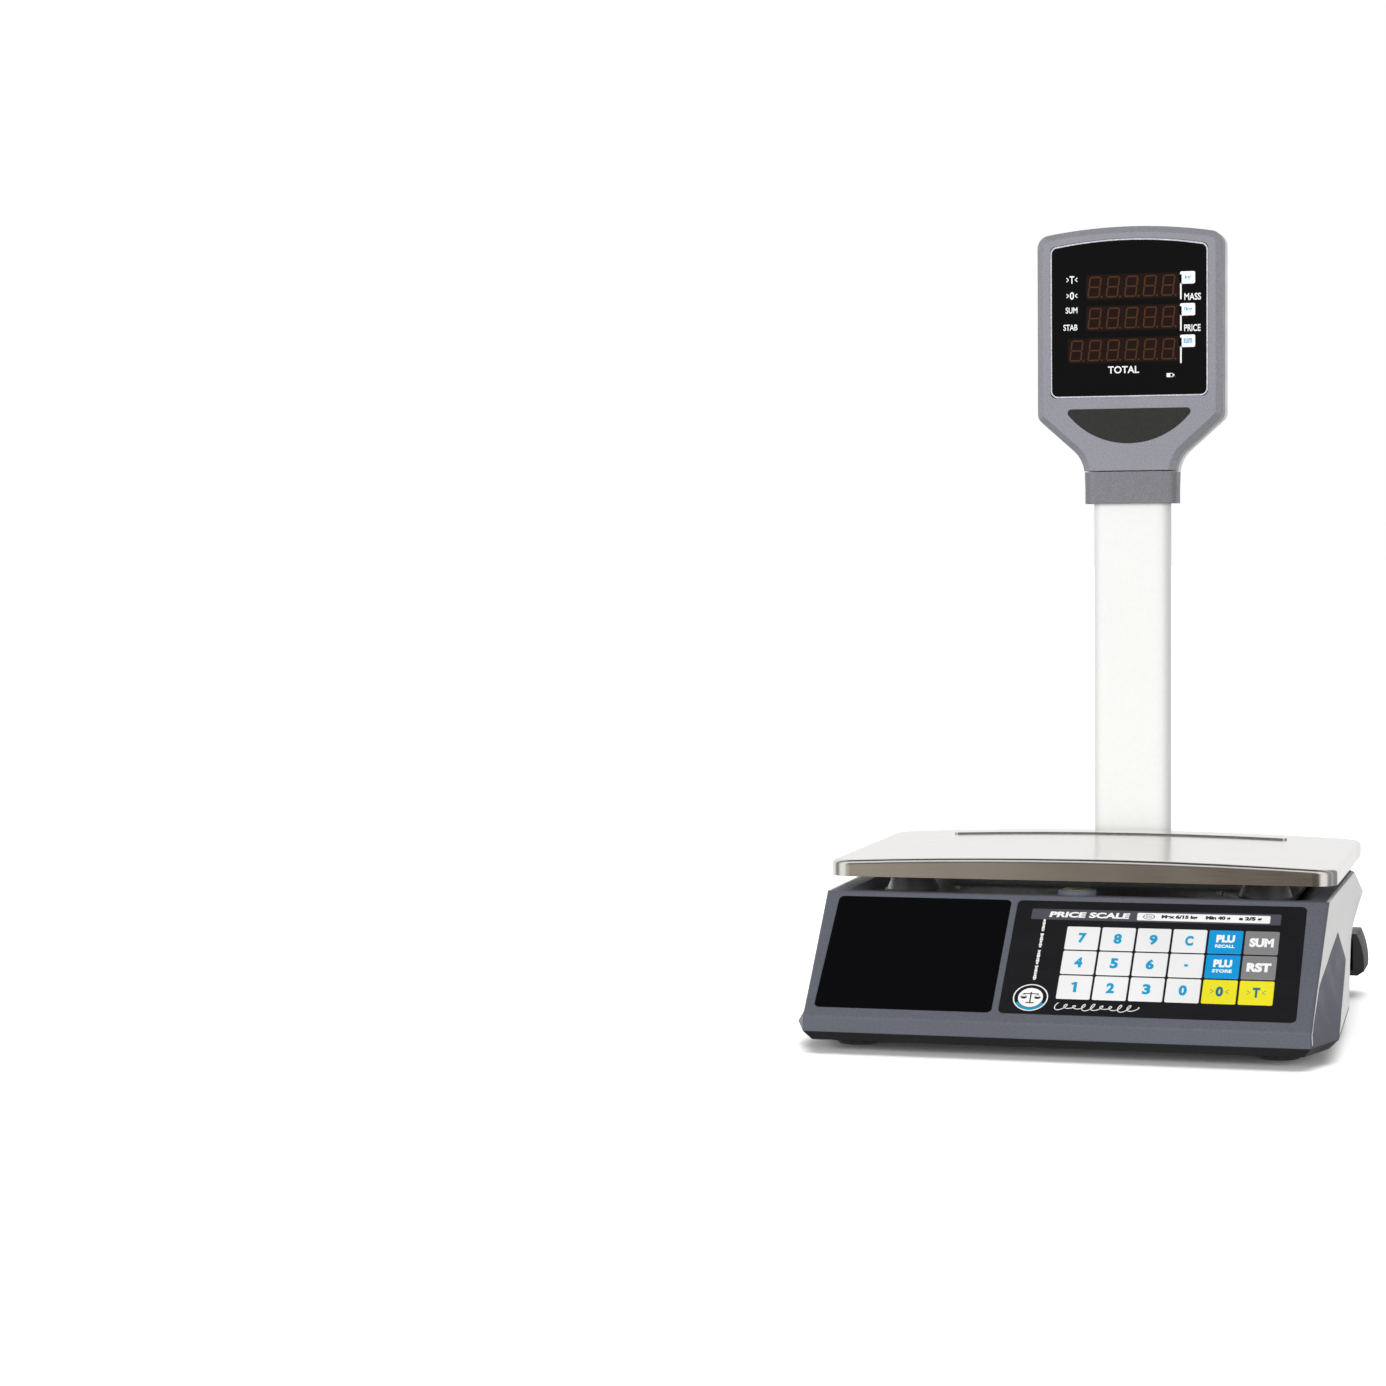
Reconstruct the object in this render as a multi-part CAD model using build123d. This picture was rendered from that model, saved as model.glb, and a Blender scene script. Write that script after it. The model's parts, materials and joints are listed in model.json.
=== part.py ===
from build123d import *
from math import atan2, cos, hypot, sin
import os

# Price-computing counter scale with a customer display on a pole.
#
# The row frame has +Z up, +Y towards the back and the origin on the surface the feet stand on, at the
# centre of the bounding box. Every size is in millimetres. One STEP file is written per piece.
# Heights below are measured from a datum RAISE above the floor, and save() lifts each piece by as much.

# --- Driving dimensions -----------------------------------------------------------------------------
LIP_Y = -177.0  # upright front lip below the control panel
PANEL_FOOT_Y = -186.0  # where the panel's plane would reach the foot of the casing
PANEL_FOOT_Z = 9.0  # height of that line
REAR_Y = 177.0  # back of the rear stabiliser
CASE_BACK_Y = 134.0  # back wall of the casing
RAISE = 6.0  # height of the datum above the floor
TRAY_Z = 1.6  # underside of the lower tray
TRAY_FLOOR_Z = 4.6  # inside of the lower tray
SPLIT_Z = 7.4  # joint between the lower tray and the casing
DECK_Z = 85.0  # flat top of the casing
DECK_FRONT_Y = -98.0  # top edge of the sloping panel
WALL = 4.0  # casing skin, side cover included
COVER = 2.0  # thickness of the side covers
SEAM = 0.4  # shadow gap round the side covers
SLIP = 0.15  # assembly clearance of inlaid pieces

PAN_W = 320.0
PAN_D = 210.0
PAN_Y = 21.0  # centre of the pan
PAN_RIM_Z = 93.0  # lower edge of the pan's turned-down rim
PAN_TOP_Z = 103.0  # top of the pan at its sides
PAN_CROWN = 4.0  # rise of the top surface between the sides and the middle
PAN_SHEET = 1.0

POLE_Y = 159.0  # pole axis
POLE_W = 52.0
POLE_D = 26.0
POLE_WALL = 1.8
POLE_BOTTOM_Z = 14.0
POLE_TOP_Z = 337.0
COLLAR_Z = (331.3, 353.3)
COLLAR_W = 64.0
COLLAR_D = 36.0

HEAD_Z = 354.0  # foot of the display head's neck
HEAD_TOP_Z = 522.0
HEAD_HALF_W = 64.0
HEAD_FRONT_Y = 141.0
HEAD_BACK_Y = 177.0
HEAD_MID_Y = (HEAD_FRONT_Y + HEAD_BACK_Y) / 2  # joint between the head's halves
HEAD_WALL = 2.5

# The control panel is a plane. Its own frame has u across, v up the slope and w outwards.
PANEL_RISE = DECK_Z - PANEL_FOOT_Z
PANEL_RUN = DECK_FRONT_Y - PANEL_FOOT_Y
SLOPE = atan2(PANEL_RISE, PANEL_RUN)
PANEL = Plane(origin=(0, PANEL_FOOT_Y, PANEL_FOOT_Z), x_dir=(1, 0, 0), z_dir=(0, -sin(SLOPE), cos(SLOPE)))
PANEL_WALL = WALL * sin(SLOPE)  # thickness of the panel, measured square to it
LIP_TOP_Z = PANEL_FOOT_Z + (LIP_Y - PANEL_FOOT_Y) * PANEL_RISE / PANEL_RUN

WINDOW_U = (-148.0, -37.5)
KEYPAD_U = (-33.5, 144.5)
RECESS_V = (19.5, 112.5)
RECESS_DEPTH = 1.2
LEDGE = 4.0  # width of the shoulder that the window and the keypad sit on

KEY_W = 20.5
KEY_H = 18.8
KEY_PITCH_U = 21.8
KEY_PITCH_V = 20.0
KEY_FIRST = (10.4, 82.0)  # centre of the top left key
KEY_W_RANGE = (-1.5, 0.1)
KEY_ROWS = (
    ("key_7", "key_8", "key_9", "key_clear", "key_lookup", "key_sum"),
    ("key_4", "key_5", "key_6", "key_point", "key_store", "key_reset"),
    ("key_1", "key_2", "key_3", "key_0", "key_zero", "key_tare"),
)

# Outlines of the casing's right half at rising heights: front corner's x, then the front hip, the waist,
# the rear hip and the rear corner. The front corner's y follows from the lip and the sloping panel.
CASE_LEVELS = {
    SPLIT_Z: (153.5, (166.5, -137.0), (162.0, -7.0), (152.0, 122.0), (146.0, 134.0)),
    LIP_TOP_Z: (153.5, (165.4, -112.0), (161.9, -4.0), (152.0, 122.0), (146.0, 134.0)),
    42.0: (154.9, (162.0, -32.0), (161.5, 5.0), (153.0, 122.0), (147.0, 134.0)),
    70.0: (156.4, (157.5, -62.0), (160.0, 20.0), (162.0, 106.0), (150.0, 134.0)),
    DECK_Z: (157.2, (157.3, -90.0), (158.0, 47.0), (158.0, 85.0), (146.0, 122.0)),
}
WELL_TOP = (145.0, -90.0, 112.0)  # half width, front, back of the sunk deck at its rim
WELL_FLOOR = (137.0, -82.0, 106.0)
WELL_Z = 75.0
SKIN = 3.0
COVER_X = 146.2  # the side covers reach round the back corners as far in as this
DECK_EDGE_X = 155.4  # the deck's dark skin ends here, against the side covers
# The dark inlay low on each side, as (y, z) points.
INLAY = (
    (-173.2, 6.4),
    (-173.2, 15.5),
    (-168.0, 20.5),
    (-141.0, 40.0),
    (-89.0, 54.6),
    (-53.4, 62.0),
    (-32.0, 42.0),
    (-137.0, 6.4),
)

FOOT_POINTS = tuple((x, y) for x in (-130.0, 130.0) for y in (-128.0, 98.0))
FOOT_R = 13.5
STUD_R = 3.0
PAD_POINTS = tuple((x, PAN_Y + y) for x in (-113.0, 113.0) for y in (-64.0, 64.0))

CELL_Z = (30.0, 52.0)
CELL_L = 130.0
CELL_W = 30.0
CELL_END = 50.0  # x of the bolted ends' centres
CARRIER_Z = (79.0, 82.0)
BOSS_TOP_Z = 95.0

DIGIT_PITCH = 12.7  # digit modules of both displays
DIGIT_H = 19.0

LEVEL_R = 12.0  # spirit level cup
LEVEL_Y = -80.0
CASE_BOSSES = ((-100.0, -163.0, 30.0), (100.0, -163.0, 30.0), (-100.0, 117.0, 80.0), (100.0, 117.0, 80.0))
PORT_Z = 58.0  # fittings in the back wall
JACK_X = 84.0
SWITCH_X = 118.0
DATA_X = -78.0
SWITCH_HOLE = (19.0, 13.0)
DATA_HOLE = (19.0, 10.0)
ROCKER_PIVOT_Y = 132.6
ROCKER_TIP = 9.0  # the switch is stored pressed to one side
CABLE_Z = 24.0
CABLE_HOLE_R = 5.0
BRACKET_SCREWS = ((-125.0, 24.0), (-50.0, 24.0), (50.0, 24.0), (125.0, 24.0))
SCREW_R = 1.9
POLE_SCREW_Z = (45.0, 75.0)

PLATE_Z = (20.0, 24.0)  # plate that carries the load cell
PLATE_POSTS = tuple((x, PAN_Y + y) for x in (-64.0, 64.0) for y in (-38.0, 38.0))
STOP_POINTS = tuple((x, PAN_Y + y) for x in (-84.0, 84.0) for y in (-62.0, 62.0))
PAD_R = 8.0

SWIVEL_R = 10.0
NUT_R = 12.2
NUT_Z = (341.0, 345.0)
NECK_FLANGE_Z = (HEAD_Z + HEAD_WALL, HEAD_Z + HEAD_WALL + 2.4)
WINDOW_HALF = 54.5  # window of the display head
WINDOW_Z = (404.5, 508.5, 513.5)  # bottom, top at the corners, top in the middle
ACCENT_Z = (372.7, 396.7)
ACCENT_HALF = 45.0
HEAD_SCREWS = ((-57.2, 399.0), (57.2, 399.0), (-57.2, 503.0), (57.2, 503.0))
DIGIT_RIGHT = 34.0
DIGIT_ROWS = ((5, 480.5), (5, 459.0), (6, 437.5))


# --- Helpers ----------------------------------------------------------------------------------------
def save(name, shape):
    export_step(Pos(0, 0, RAISE) * shape, f"parts/{name}.step")


def group(solids):
    return Compound(list(solids))


def slab(x, y, z):
    """A box from its (low, high) range on each axis."""
    size = [b - a for a, b in (x, y, z)]
    middle = [(a + b) / 2 for a, b in (x, y, z)]
    return Pos(*middle) * Box(*size)


def panel_slab(u, v, w, radius=0.0):
    """A plate lying on the control panel, with rounded corners."""
    middle = Pos((u[0] + u[1]) / 2, (v[0] + v[1]) / 2, w[0])
    if radius:
        sketch = RectangleRounded(u[1] - u[0], v[1] - v[0], radius)
    else:
        sketch = Rectangle(u[1] - u[0], v[1] - v[0])
    return PANEL * (middle * extrude(sketch, amount=w[1] - w[0]))


def post(radius, x, y, z):
    return Pos(x, y, (z[0] + z[1]) / 2) * Cylinder(radius, z[1] - z[0])


def y_post(radius, x, z, y):
    """A cylinder along Y."""
    return Pos(x, (y[0] + y[1]) / 2, z) * Rot(90, 0, 0) * Cylinder(radius, y[1] - y[0])


def tube_block(width, depth, radius, z, y=POLE_Y):
    """An upright bar of rounded rectangular section on the pole's axis."""
    return Pos(0, y, z[0]) * extrude(RectangleRounded(width, depth, radius), amount=z[1] - z[0])


def shrink(value_range, by):
    return value_range[0] + by, value_range[1] - by


# --- Casing -----------------------------------------------------------------------------------------
def front_y(z):
    """Where the casing's front stands at height z: the lip, then the control panel."""
    return max(LIP_Y, PANEL_FOOT_Y + (z - PANEL_FOOT_Z) * PANEL_RUN / PANEL_RISE)


def inset(points, by):
    """A closed convex polygon moved inwards: each side shifts, and neighbours meet again."""
    count = len(points)
    lines = []
    for i in range(count):
        (x0, y0), (x1, y1) = points[i], points[(i + 1) % count]
        length = hypot(x1 - x0, y1 - y0)
        nx, ny = -(y1 - y0) / length, (x1 - x0) / length
        lines.append((nx, ny, nx * x0 + ny * y0 + by))
    moved = []
    for i in range(count):
        a, b = lines[i - 1], lines[i]
        det = a[0] * b[1] - a[1] * b[0]
        moved.append(((a[2] * b[1] - a[1] * b[2]) / det, (a[0] * b[2] - a[2] * b[0]) / det))
    return moved


def case_outline(level, height, by=0.0):
    """The outline named by level, drawn at a height, anticlockwise from the front right corner."""
    front_x, *rest = CASE_LEVELS[level]
    right = [(front_x, front_y(height)), *rest]
    left = [(-x, y) for x, y in reversed(right)]
    points = inset(right + left, by) if by else right + left
    return make_face(Polyline([(x, y, height) for x, y in points], close=True))


def case_body(by=0.0, top=DECK_Z, bottom=SPLIT_Z):
    """The casing's full form, or the same form moved inwards by a wall's thickness."""
    levels = sorted(CASE_LEVELS)
    heights = [bottom, *levels[1:-1], top]
    return loft([case_outline(level, z, by) for level, z in zip(levels, heights)], ruled=True)


def tray_outline(height, by=0.0):
    return case_outline(SPLIT_Z, height, by)


def well(grow=0.0, floor=WELL_Z, top=DECK_Z):
    """The sunk part of the deck, which keeps the pan's carrier low."""
    sections = []
    for (half, front, back), z in ((WELL_FLOOR, floor), (WELL_TOP, top)):
        sketch = RectangleRounded(2 * (half + grow), back - front + 2 * grow, 8 + grow)
        sections.append(Pos(0, (front + back) / 2, z) * sketch)
    return loft([s.faces()[0] for s in sections], ruled=True)


def cover_region(side, gap):
    """The space that belongs to a side cover: outside the deck, behind the panel, round the inlay."""
    inner = COVER_X - gap
    high = slab((inner, 200), (-200, 200), (SPLIT_Z + 1.6 - gap, 120))
    high -= PANEL * (Pos(0, 50, 25 - PANEL_WALL + gap) * Box(500, 400, 50))
    high -= slab((0, 200), (-200, LIP_Y + PANEL_WALL - gap), (0, 120))
    high -= slab((0, DECK_EDGE_X - gap), (-200, 110), (DECK_Z - COVER - 0.5 + gap, 120))
    face = make_face(Polyline([(0, y, z) for y, z in INLAY], close=True))
    if gap:
        face = offset(face, amount=-gap).faces()[0]
    high -= extrude(face, amount=210, dir=(1, 0, 0))
    return high if side > 0 else mirror(high, Plane.YZ)


def make_casing():
    full = case_body()
    panel_edges = [e for e in full.edges() if abs(PANEL.to_local_coords(e.center()).Z) < 0.05]
    full = fillet(panel_edges, 2.0)
    middle = case_body(COVER, DECK_Z - COVER)
    inner = case_body(WALL, DECK_Z - SKIN, SPLIT_Z - 1)
    case = full - inner
    case += well(SKIN, WELL_Z - SKIN, DECK_Z - 0.01) & full
    case -= well(0.0, WELL_Z, DECK_Z + 0.01)
    for x, y, top in CASE_BOSSES:
        case += post(4.0, x, y, (SPLIT_Z, top)) & full
        case -= post(1.25, x, y, (SPLIT_Z - 1, SPLIT_Z + 9))
    for u in (WINDOW_U, KEYPAD_U):
        case -= panel_slab(u, RECESS_V, (-RECESS_DEPTH, 5), 3.5)
        case -= panel_slab(shrink(u, LEDGE), shrink(RECESS_V, LEDGE), (-9, 5), 2.0)
    case -= slab((CELL_END - 19, CELL_END + 19), (PAN_Y - 19, PAN_Y + 19), (WELL_Z - 9, WELL_Z + 1))
    case -= post(LEVEL_R, 0, LEVEL_Y, (WELL_Z - SKIN, DECK_Z + 5))
    case -= rear_openings()
    covers = {}
    for side, name in ((1, "side_cover_right"), (-1, "side_cover_left")):
        covers[name] = (full - middle) & cover_region(side, 0.0)
        case -= cover_region(side, SEAM) - middle
    return case, covers


def rear_openings():
    """Everything cut through the casing's back wall."""
    through = (120.0, 140.0)
    z_switch = (PORT_Z - SWITCH_HOLE[1] / 2, PORT_Z + SWITCH_HOLE[1] / 2)
    z_data = (PORT_Z - DATA_HOLE[1] / 2, PORT_Z + DATA_HOLE[1] / 2)
    cut = slab((SWITCH_X - SWITCH_HOLE[0] / 2, SWITCH_X + SWITCH_HOLE[0] / 2), through, z_switch)
    cut += slab((DATA_X - DATA_HOLE[0] / 2, DATA_X + DATA_HOLE[0] / 2), through, z_data)
    cut += y_post(4.0, JACK_X, PORT_Z, through)
    cut += y_post(CABLE_HOLE_R, 0, CABLE_Z, through)
    for x, z in BRACKET_SCREWS:
        cut += y_post(SCREW_R, x, z, through)
    return cut


def make_tray():
    """The black lower tray, with a bevelled underside, a locating lip and its bosses."""
    outer = loft([tray_outline(TRAY_Z, 6.0), tray_outline(SPLIT_Z)], ruled=True)
    tray = outer - loft([tray_outline(TRAY_FLOOR_Z, 8.0), tray_outline(SPLIT_Z + 1, 4.4)], ruled=True)
    lip = loft([tray_outline(z, 5.4) for z in (TRAY_FLOOR_Z, SPLIT_Z + 3)], ruled=True)
    lip -= loft([tray_outline(z, 7.4) for z in (TRAY_FLOOR_Z - 1, SPLIT_Z + 4)], ruled=True)
    tray += lip - slab((-200, 200), (-200, -100), (SPLIT_Z, SPLIT_Z + 4))
    for x, y in FOOT_POINTS:
        tray += post(9.0, x, y, (TRAY_Z, 14.0))
        tray -= post(STUD_R + 0.05, x, y, (0, 20))
    for x, y in PLATE_POSTS:
        tray += post(6.0, x, y, (TRAY_FLOOR_Z - 1, PLATE_Z[0]))
        tray -= post(1.5, x, y, (9.0, PLATE_Z[0] + 1))
    for x, y, _ in CASE_BOSSES:
        tray += post(6.0, x, y, (TRAY_FLOOR_Z - 1, SPLIT_Z))
        tray -= post(1.6, x, y, (0, 30))
        tray -= post(3.4, x, y, (0, 4.4))
    return tray


# --- Weighing mechanism -----------------------------------------------------------------------------
def crown_block(width, depth, radius, top, crown, bottom):
    """A block with an arched top and rounded corners, from which the pan is drawn."""
    half = width / 2
    arch = ThreePointArc((-half, top), (0, top + crown), (half, top))
    sides = Polyline((half, top), (half, bottom), (-half, bottom), (-half, top))
    face = Plane.XZ * make_face(Curve() + [arch, sides])
    block = Pos(0, PAN_Y + depth / 2, 0) * extrude(face, amount=depth)
    block = fillet(block.edges().filter_by(Axis.Z), radius)
    return block


def make_pan():
    """A pressed steel sheet: arched top, turned-down rim with a hem, and a stiffening rib at the back."""
    rib_w, rib_d, rib_h = 226.0, 7.0, 1.1
    rib_y = PAN_Y + 70.0
    outer = crown_block(PAN_W, PAN_D, 14.0, PAN_TOP_Z, PAN_CROWN, PAN_RIM_Z)
    top_edges = [e for e in outer.edges() if e.center().Z > PAN_TOP_Z - 2 and e.length > 5]
    outer = fillet(top_edges, 3.0)
    sheet = PAN_SHEET
    width, depth = PAN_W - 2 * sheet, PAN_D - 2 * sheet
    inner = crown_block(width, depth, 13.0, PAN_TOP_Z - sheet, PAN_CROWN, PAN_RIM_Z - 1)
    inner_edges = [e for e in inner.edges() if e.center().Z > PAN_TOP_Z - 3 and e.length > 5]
    inner = fillet(inner_edges, 2.0)
    rib = extrude(Pos(0, rib_y, 90) * RectangleRounded(rib_w, rib_d, rib_d / 2 - 0.1), amount=30)
    rib_core_sketch = RectangleRounded(rib_w - 2, rib_d - 2, rib_d / 2 - 1.1)
    rib_core = extrude(Pos(0, rib_y, 90) * rib_core_sketch, amount=30)
    raised = crown_block(PAN_W, PAN_D, 14.0, PAN_TOP_Z + rib_h, PAN_CROWN, PAN_TOP_Z - 4)
    raised_core = crown_block(PAN_W, PAN_D, 14.0, PAN_TOP_Z + rib_h - sheet, PAN_CROWN, PAN_TOP_Z - 4)
    pan = (outer + (raised & rib)) - inner - (raised_core & rib_core)
    hem_outer = crown_block(width, depth, 13.0, PAN_RIM_Z + 1.0, 0.001, PAN_RIM_Z)
    hem_inner = crown_block(PAN_W - 6, PAN_D - 6, 11.0, PAN_RIM_Z + 2, 0.001, PAN_RIM_Z - 1)
    return pan + (hem_outer - hem_inner)


def pan_underside(x):
    """Height of the pan's underside at x, from the arc through its sides and crown."""
    half = PAN_W / 2 - PAN_SHEET
    radius = (half * half + PAN_CROWN * PAN_CROWN) / (2 * PAN_CROWN)
    centre = PAN_TOP_Z - PAN_SHEET + PAN_CROWN - radius
    return centre + (radius * radius - x * x) ** 0.5


def make_carrier():
    """The plate on the load cell's free end, with a raised seat for each rubber pad."""
    depth = 168.0
    plate = Pos(0, PAN_Y, CARRIER_Z[0]) * extrude(RectangleRounded(262.0, depth, 18.0), amount=3.0)
    for x, y in PAD_POINTS:
        plate += Pos(x, y, (CARRIER_Z[1] + BOSS_TOP_Z) / 2) * Cone(17.0, 11.5, BOSS_TOP_Z - CARRIER_Z[1])
        plate -= post(3.0, x, y, (BOSS_TOP_Z - 5, BOSS_TOP_Z + 1))
    for y in (-30.0, 30.0):
        plate += slab((-96, 96), (PAN_Y + y - 2, PAN_Y + y + 2), (CARRIER_Z[1], CARRIER_Z[1] + 5))
    plate += cell_seat(CELL_END, (CELL_Z[1], CARRIER_Z[0]))
    for y in (-8.0, 8.0):
        plate -= post(3.1, CELL_END, PAN_Y + y, (40, 90))
    for x, y in STOP_POINTS:
        plate -= post(2.5, x, y, (70, 90))
    return plate


def make_pads():
    top = pan_underside(abs(PAD_POINTS[0][0]) + PAD_R) - 0.1
    pads = []
    for x, y in PAD_POINTS:
        pad = post(PAD_R, x, y, (BOSS_TOP_Z, top))
        pad = fillet(pad.edges().sort_by(Axis.Z)[-1], 1.2)
        pads.append(pad + post(2.9, x, y, (BOSS_TOP_Z - 4, BOSS_TOP_Z)))
    return group(pads)


def make_load_cell():
    """A single-point bending beam with its double bore."""
    cell = slab((-CELL_L / 2, CELL_L / 2), (PAN_Y - CELL_W / 2, PAN_Y + CELL_W / 2), CELL_Z)
    middle = sum(CELL_Z) / 2
    for x in (-14.0, 14.0):
        cell -= y_post(8.5, x, middle, (PAN_Y - 20, PAN_Y + 20))
    cell -= slab((-14, 14), (PAN_Y - 20, PAN_Y + 20), (middle - 2, middle + 2))
    for x, z in ((-CELL_END, (CELL_Z[0] - 1, CELL_Z[0] + 12)), (CELL_END, (CELL_Z[1] - 12, CELL_Z[1] + 1))):
        for y in (-8.0, 8.0):
            cell -= post(3.0, x, PAN_Y + y, z)
    return cell


def make_cell_plate():
    """The stiff plate on the tray's posts, to which the cell's fixed end is bolted."""
    plate = Pos(0, PAN_Y, PLATE_Z[0]) * extrude(RectangleRounded(150, 94, 8), amount=4)
    plate += cell_seat(-CELL_END, (PLATE_Z[1], CELL_Z[0]))
    for x, y in PLATE_POSTS:
        plate -= post(2.2, x, y, (10, 30))
    for y in (-8.0, 8.0):
        plate -= post(3.1, -CELL_END, PAN_Y + y, (10, 40))
    return plate


def cell_seat(x, z):
    """The machined block that holds a plate clear of the load cell's bending part."""
    return slab((x - 15, x + 15), (PAN_Y - 15, PAN_Y + 15), z)


def cap_screw(x, y, head_z, tip_z, shank=2.95, head=4.8):
    """A socket-head screw on a vertical axis. It points down when the tip is below the head."""
    step = 4.0 if head_z > tip_z else -4.0
    low, high = sorted((head_z, head_z + step))
    screw = post(head, x, y, (low, high)) + post(shank, x, y, tuple(sorted((head_z, tip_z))))
    drive_z = high - 2 if step > 0 else low
    return screw - Pos(x, y, drive_z) * extrude(RegularPolygon(2.4, 6), amount=2)


def make_fixed_cell_screws():
    return group(cap_screw(-CELL_END, PAN_Y + y, PLATE_Z[0], CELL_Z[0] + 10) for y in (-8.0, 8.0))


def make_moving_cell_screws():
    return group(cap_screw(CELL_END, PAN_Y + y, CARRIER_Z[1], CELL_Z[1] - 10) for y in (-8.0, 8.0))


def make_overload_stops():
    """Set screws under the carrier, which meet the deck when the pan is overloaded."""
    return group(post(2.5, x, y, (WELL_Z + 0.8, CARRIER_Z[1] + 2)) for x, y in STOP_POINTS)


# --- Control panel ----------------------------------------------------------------------------------
def make_window():
    u, v = shrink(WINDOW_U, SLIP), shrink(RECESS_V, SLIP)
    return panel_slab(u, v, (-RECESS_DEPTH, -0.1), 3.4)


def key_centres():
    for row, names in enumerate(KEY_ROWS):
        for column, name in enumerate(names):
            yield name, KEY_FIRST[0] + column * KEY_PITCH_U, KEY_FIRST[1] - row * KEY_PITCH_V


def key_block(u, v, w, grow=0.0):
    half_w, half_h = KEY_W / 2 + grow, KEY_H / 2 + grow
    return panel_slab((u - half_w, u + half_w), (v - half_h, v + half_h), w, 1.0 + grow)


def make_overlay():
    plate = panel_slab(shrink(KEYPAD_U, SLIP), shrink(RECESS_V, SLIP), (-RECESS_DEPTH, -0.2), 3.4)
    for _, u, v in key_centres():
        plate -= key_block(u, v, (-3, 3), 0.2)
    return plate


def make_key(u, v):
    key = key_block(u, v, KEY_W_RANGE)
    top = key.edges().filter_by(lambda e: abs(PANEL.to_local_coords(e.center()).Z - KEY_W_RANGE[1]) < 0.01)
    return fillet(top, 0.35)


def make_keypad_board():
    """The key board, with a snap dome under each key."""
    u, v = shrink(KEYPAD_U, 1.0), shrink(RECESS_V, 1.0)
    board = panel_slab(u, v, (-PANEL_WALL - 0.8, -PANEL_WALL))
    dome_h = 0.45
    for _, u, v in key_centres():
        board += PANEL * (Pos(u, v, -PANEL_WALL + dome_h / 2) * Cone(5.0, 3.4, dome_h))
    return board


def make_backplate():
    """The steel plate that presses the key board against the back of the panel."""
    u, v = shrink(KEYPAD_U, 1.0), shrink(RECESS_V, 1.0)
    plate = panel_slab(u, v, (-PANEL_WALL - 2.0, -PANEL_WALL - 0.8))
    for du in (-70.0, 0.0, 70.0):
        at = (u[0] + u[1]) / 2 + du
        plate -= panel_slab((at - 12, at + 12), (60, 74), (-9, 0), 4)
    return plate


def make_operator_display():
    """Board and digit modules behind the operator's window."""
    u = (WINDOW_U[0] + 8, WINDOW_U[1] - 8)
    board = panel_slab(u, (28, 104), (-12.0, -10.4))
    modules = []
    for digits, v in ((5, 90.0), (5, 68.0), (6, 46.0)):
        right = u[1] - 4
        left = right - digits * DIGIT_PITCH
        modules.append(panel_slab((left, right), (v - DIGIT_H / 2, v + DIGIT_H / 2), (-10.4, -3.5)))
    return group([board, *modules])


# --- Electronics and fittings -----------------------------------------------------------------------
def make_main_board():
    """Green board on four pillars, with its larger components."""
    top = 15.6
    board = slab((-145, -80), (-40, 76), (14.0, top))
    parts = [board]
    for x, y in ((-140, -35), (-85, -35), (-140, 71), (-85, 71)):
        parts.append(post(3.0, x, y, (TRAY_FLOOR_Z, 14.0)))
    blocks = (
        ((-128, -108), (0, 20), 3.0),
        ((-100, -86), (-20, 10), 11.0),
        ((-140, -126), (40, 64), 12.0),
        ((-112, -90), (34, 44), 8.0),
    )
    for x, y, height in blocks:
        parts.append(slab(x, y, (top, top + height)))
    for y in (-24, -12):
        parts.append(post(4.0, -132, y, (top, top + 14)))
    return group(parts)


def make_battery():
    case = slab((78, 145), (-25, 75), (TRAY_FLOOR_Z, 53.5))
    case = fillet(case.edges().filter_by(Axis.Z), 3)
    terminals = [slab((x, x + 6), (60, 64), (53.5, 60)) for x in (84, 133)]
    return group([case, *terminals])


def make_level():
    """Spirit level on the deck: cup and the clear vial seated in it."""
    cup_z = (WELL_Z - SKIN, DECK_Z + 2.6)
    cup = post(LEVEL_R, 0, LEVEL_Y, cup_z)
    cup = fillet(cup.edges().sort_by(Axis.Z)[-1], 1.0)
    cup -= post(9.0, 0, LEVEL_Y, (cup_z[1] - 6, cup_z[1] + 1))
    vial = post(9.0, 0, LEVEL_Y, (cup_z[1] - 6, cup_z[1] + 0.6))
    return cup, fillet(vial.edges().sort_by(Axis.Z)[-1], 0.9)


def make_feet():
    """Rubber-faced levelling feet, each turned by hand on its threaded stud."""
    feet = {}
    names = ("foot_front_left", "foot_rear_left", "foot_front_right", "foot_rear_right")
    for name, (x, y) in zip(names, FOOT_POINTS):
        disc = post(FOOT_R, x, y, (-RAISE, 1.0))
        disc = chamfer(disc.edges().sort_by(Axis.Z)[0], 1.2)
        for i in range(12):
            disc -= Pos(x, y, -1.5) * Rot(0, 0, i * 30) * Pos(FOOT_R + 0.6, 0, 0) * Cylinder(1.5, 5.2)
        feet[name] = disc + post(STUD_R, x, y, (1.0, 17.0))
    return feet


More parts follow.
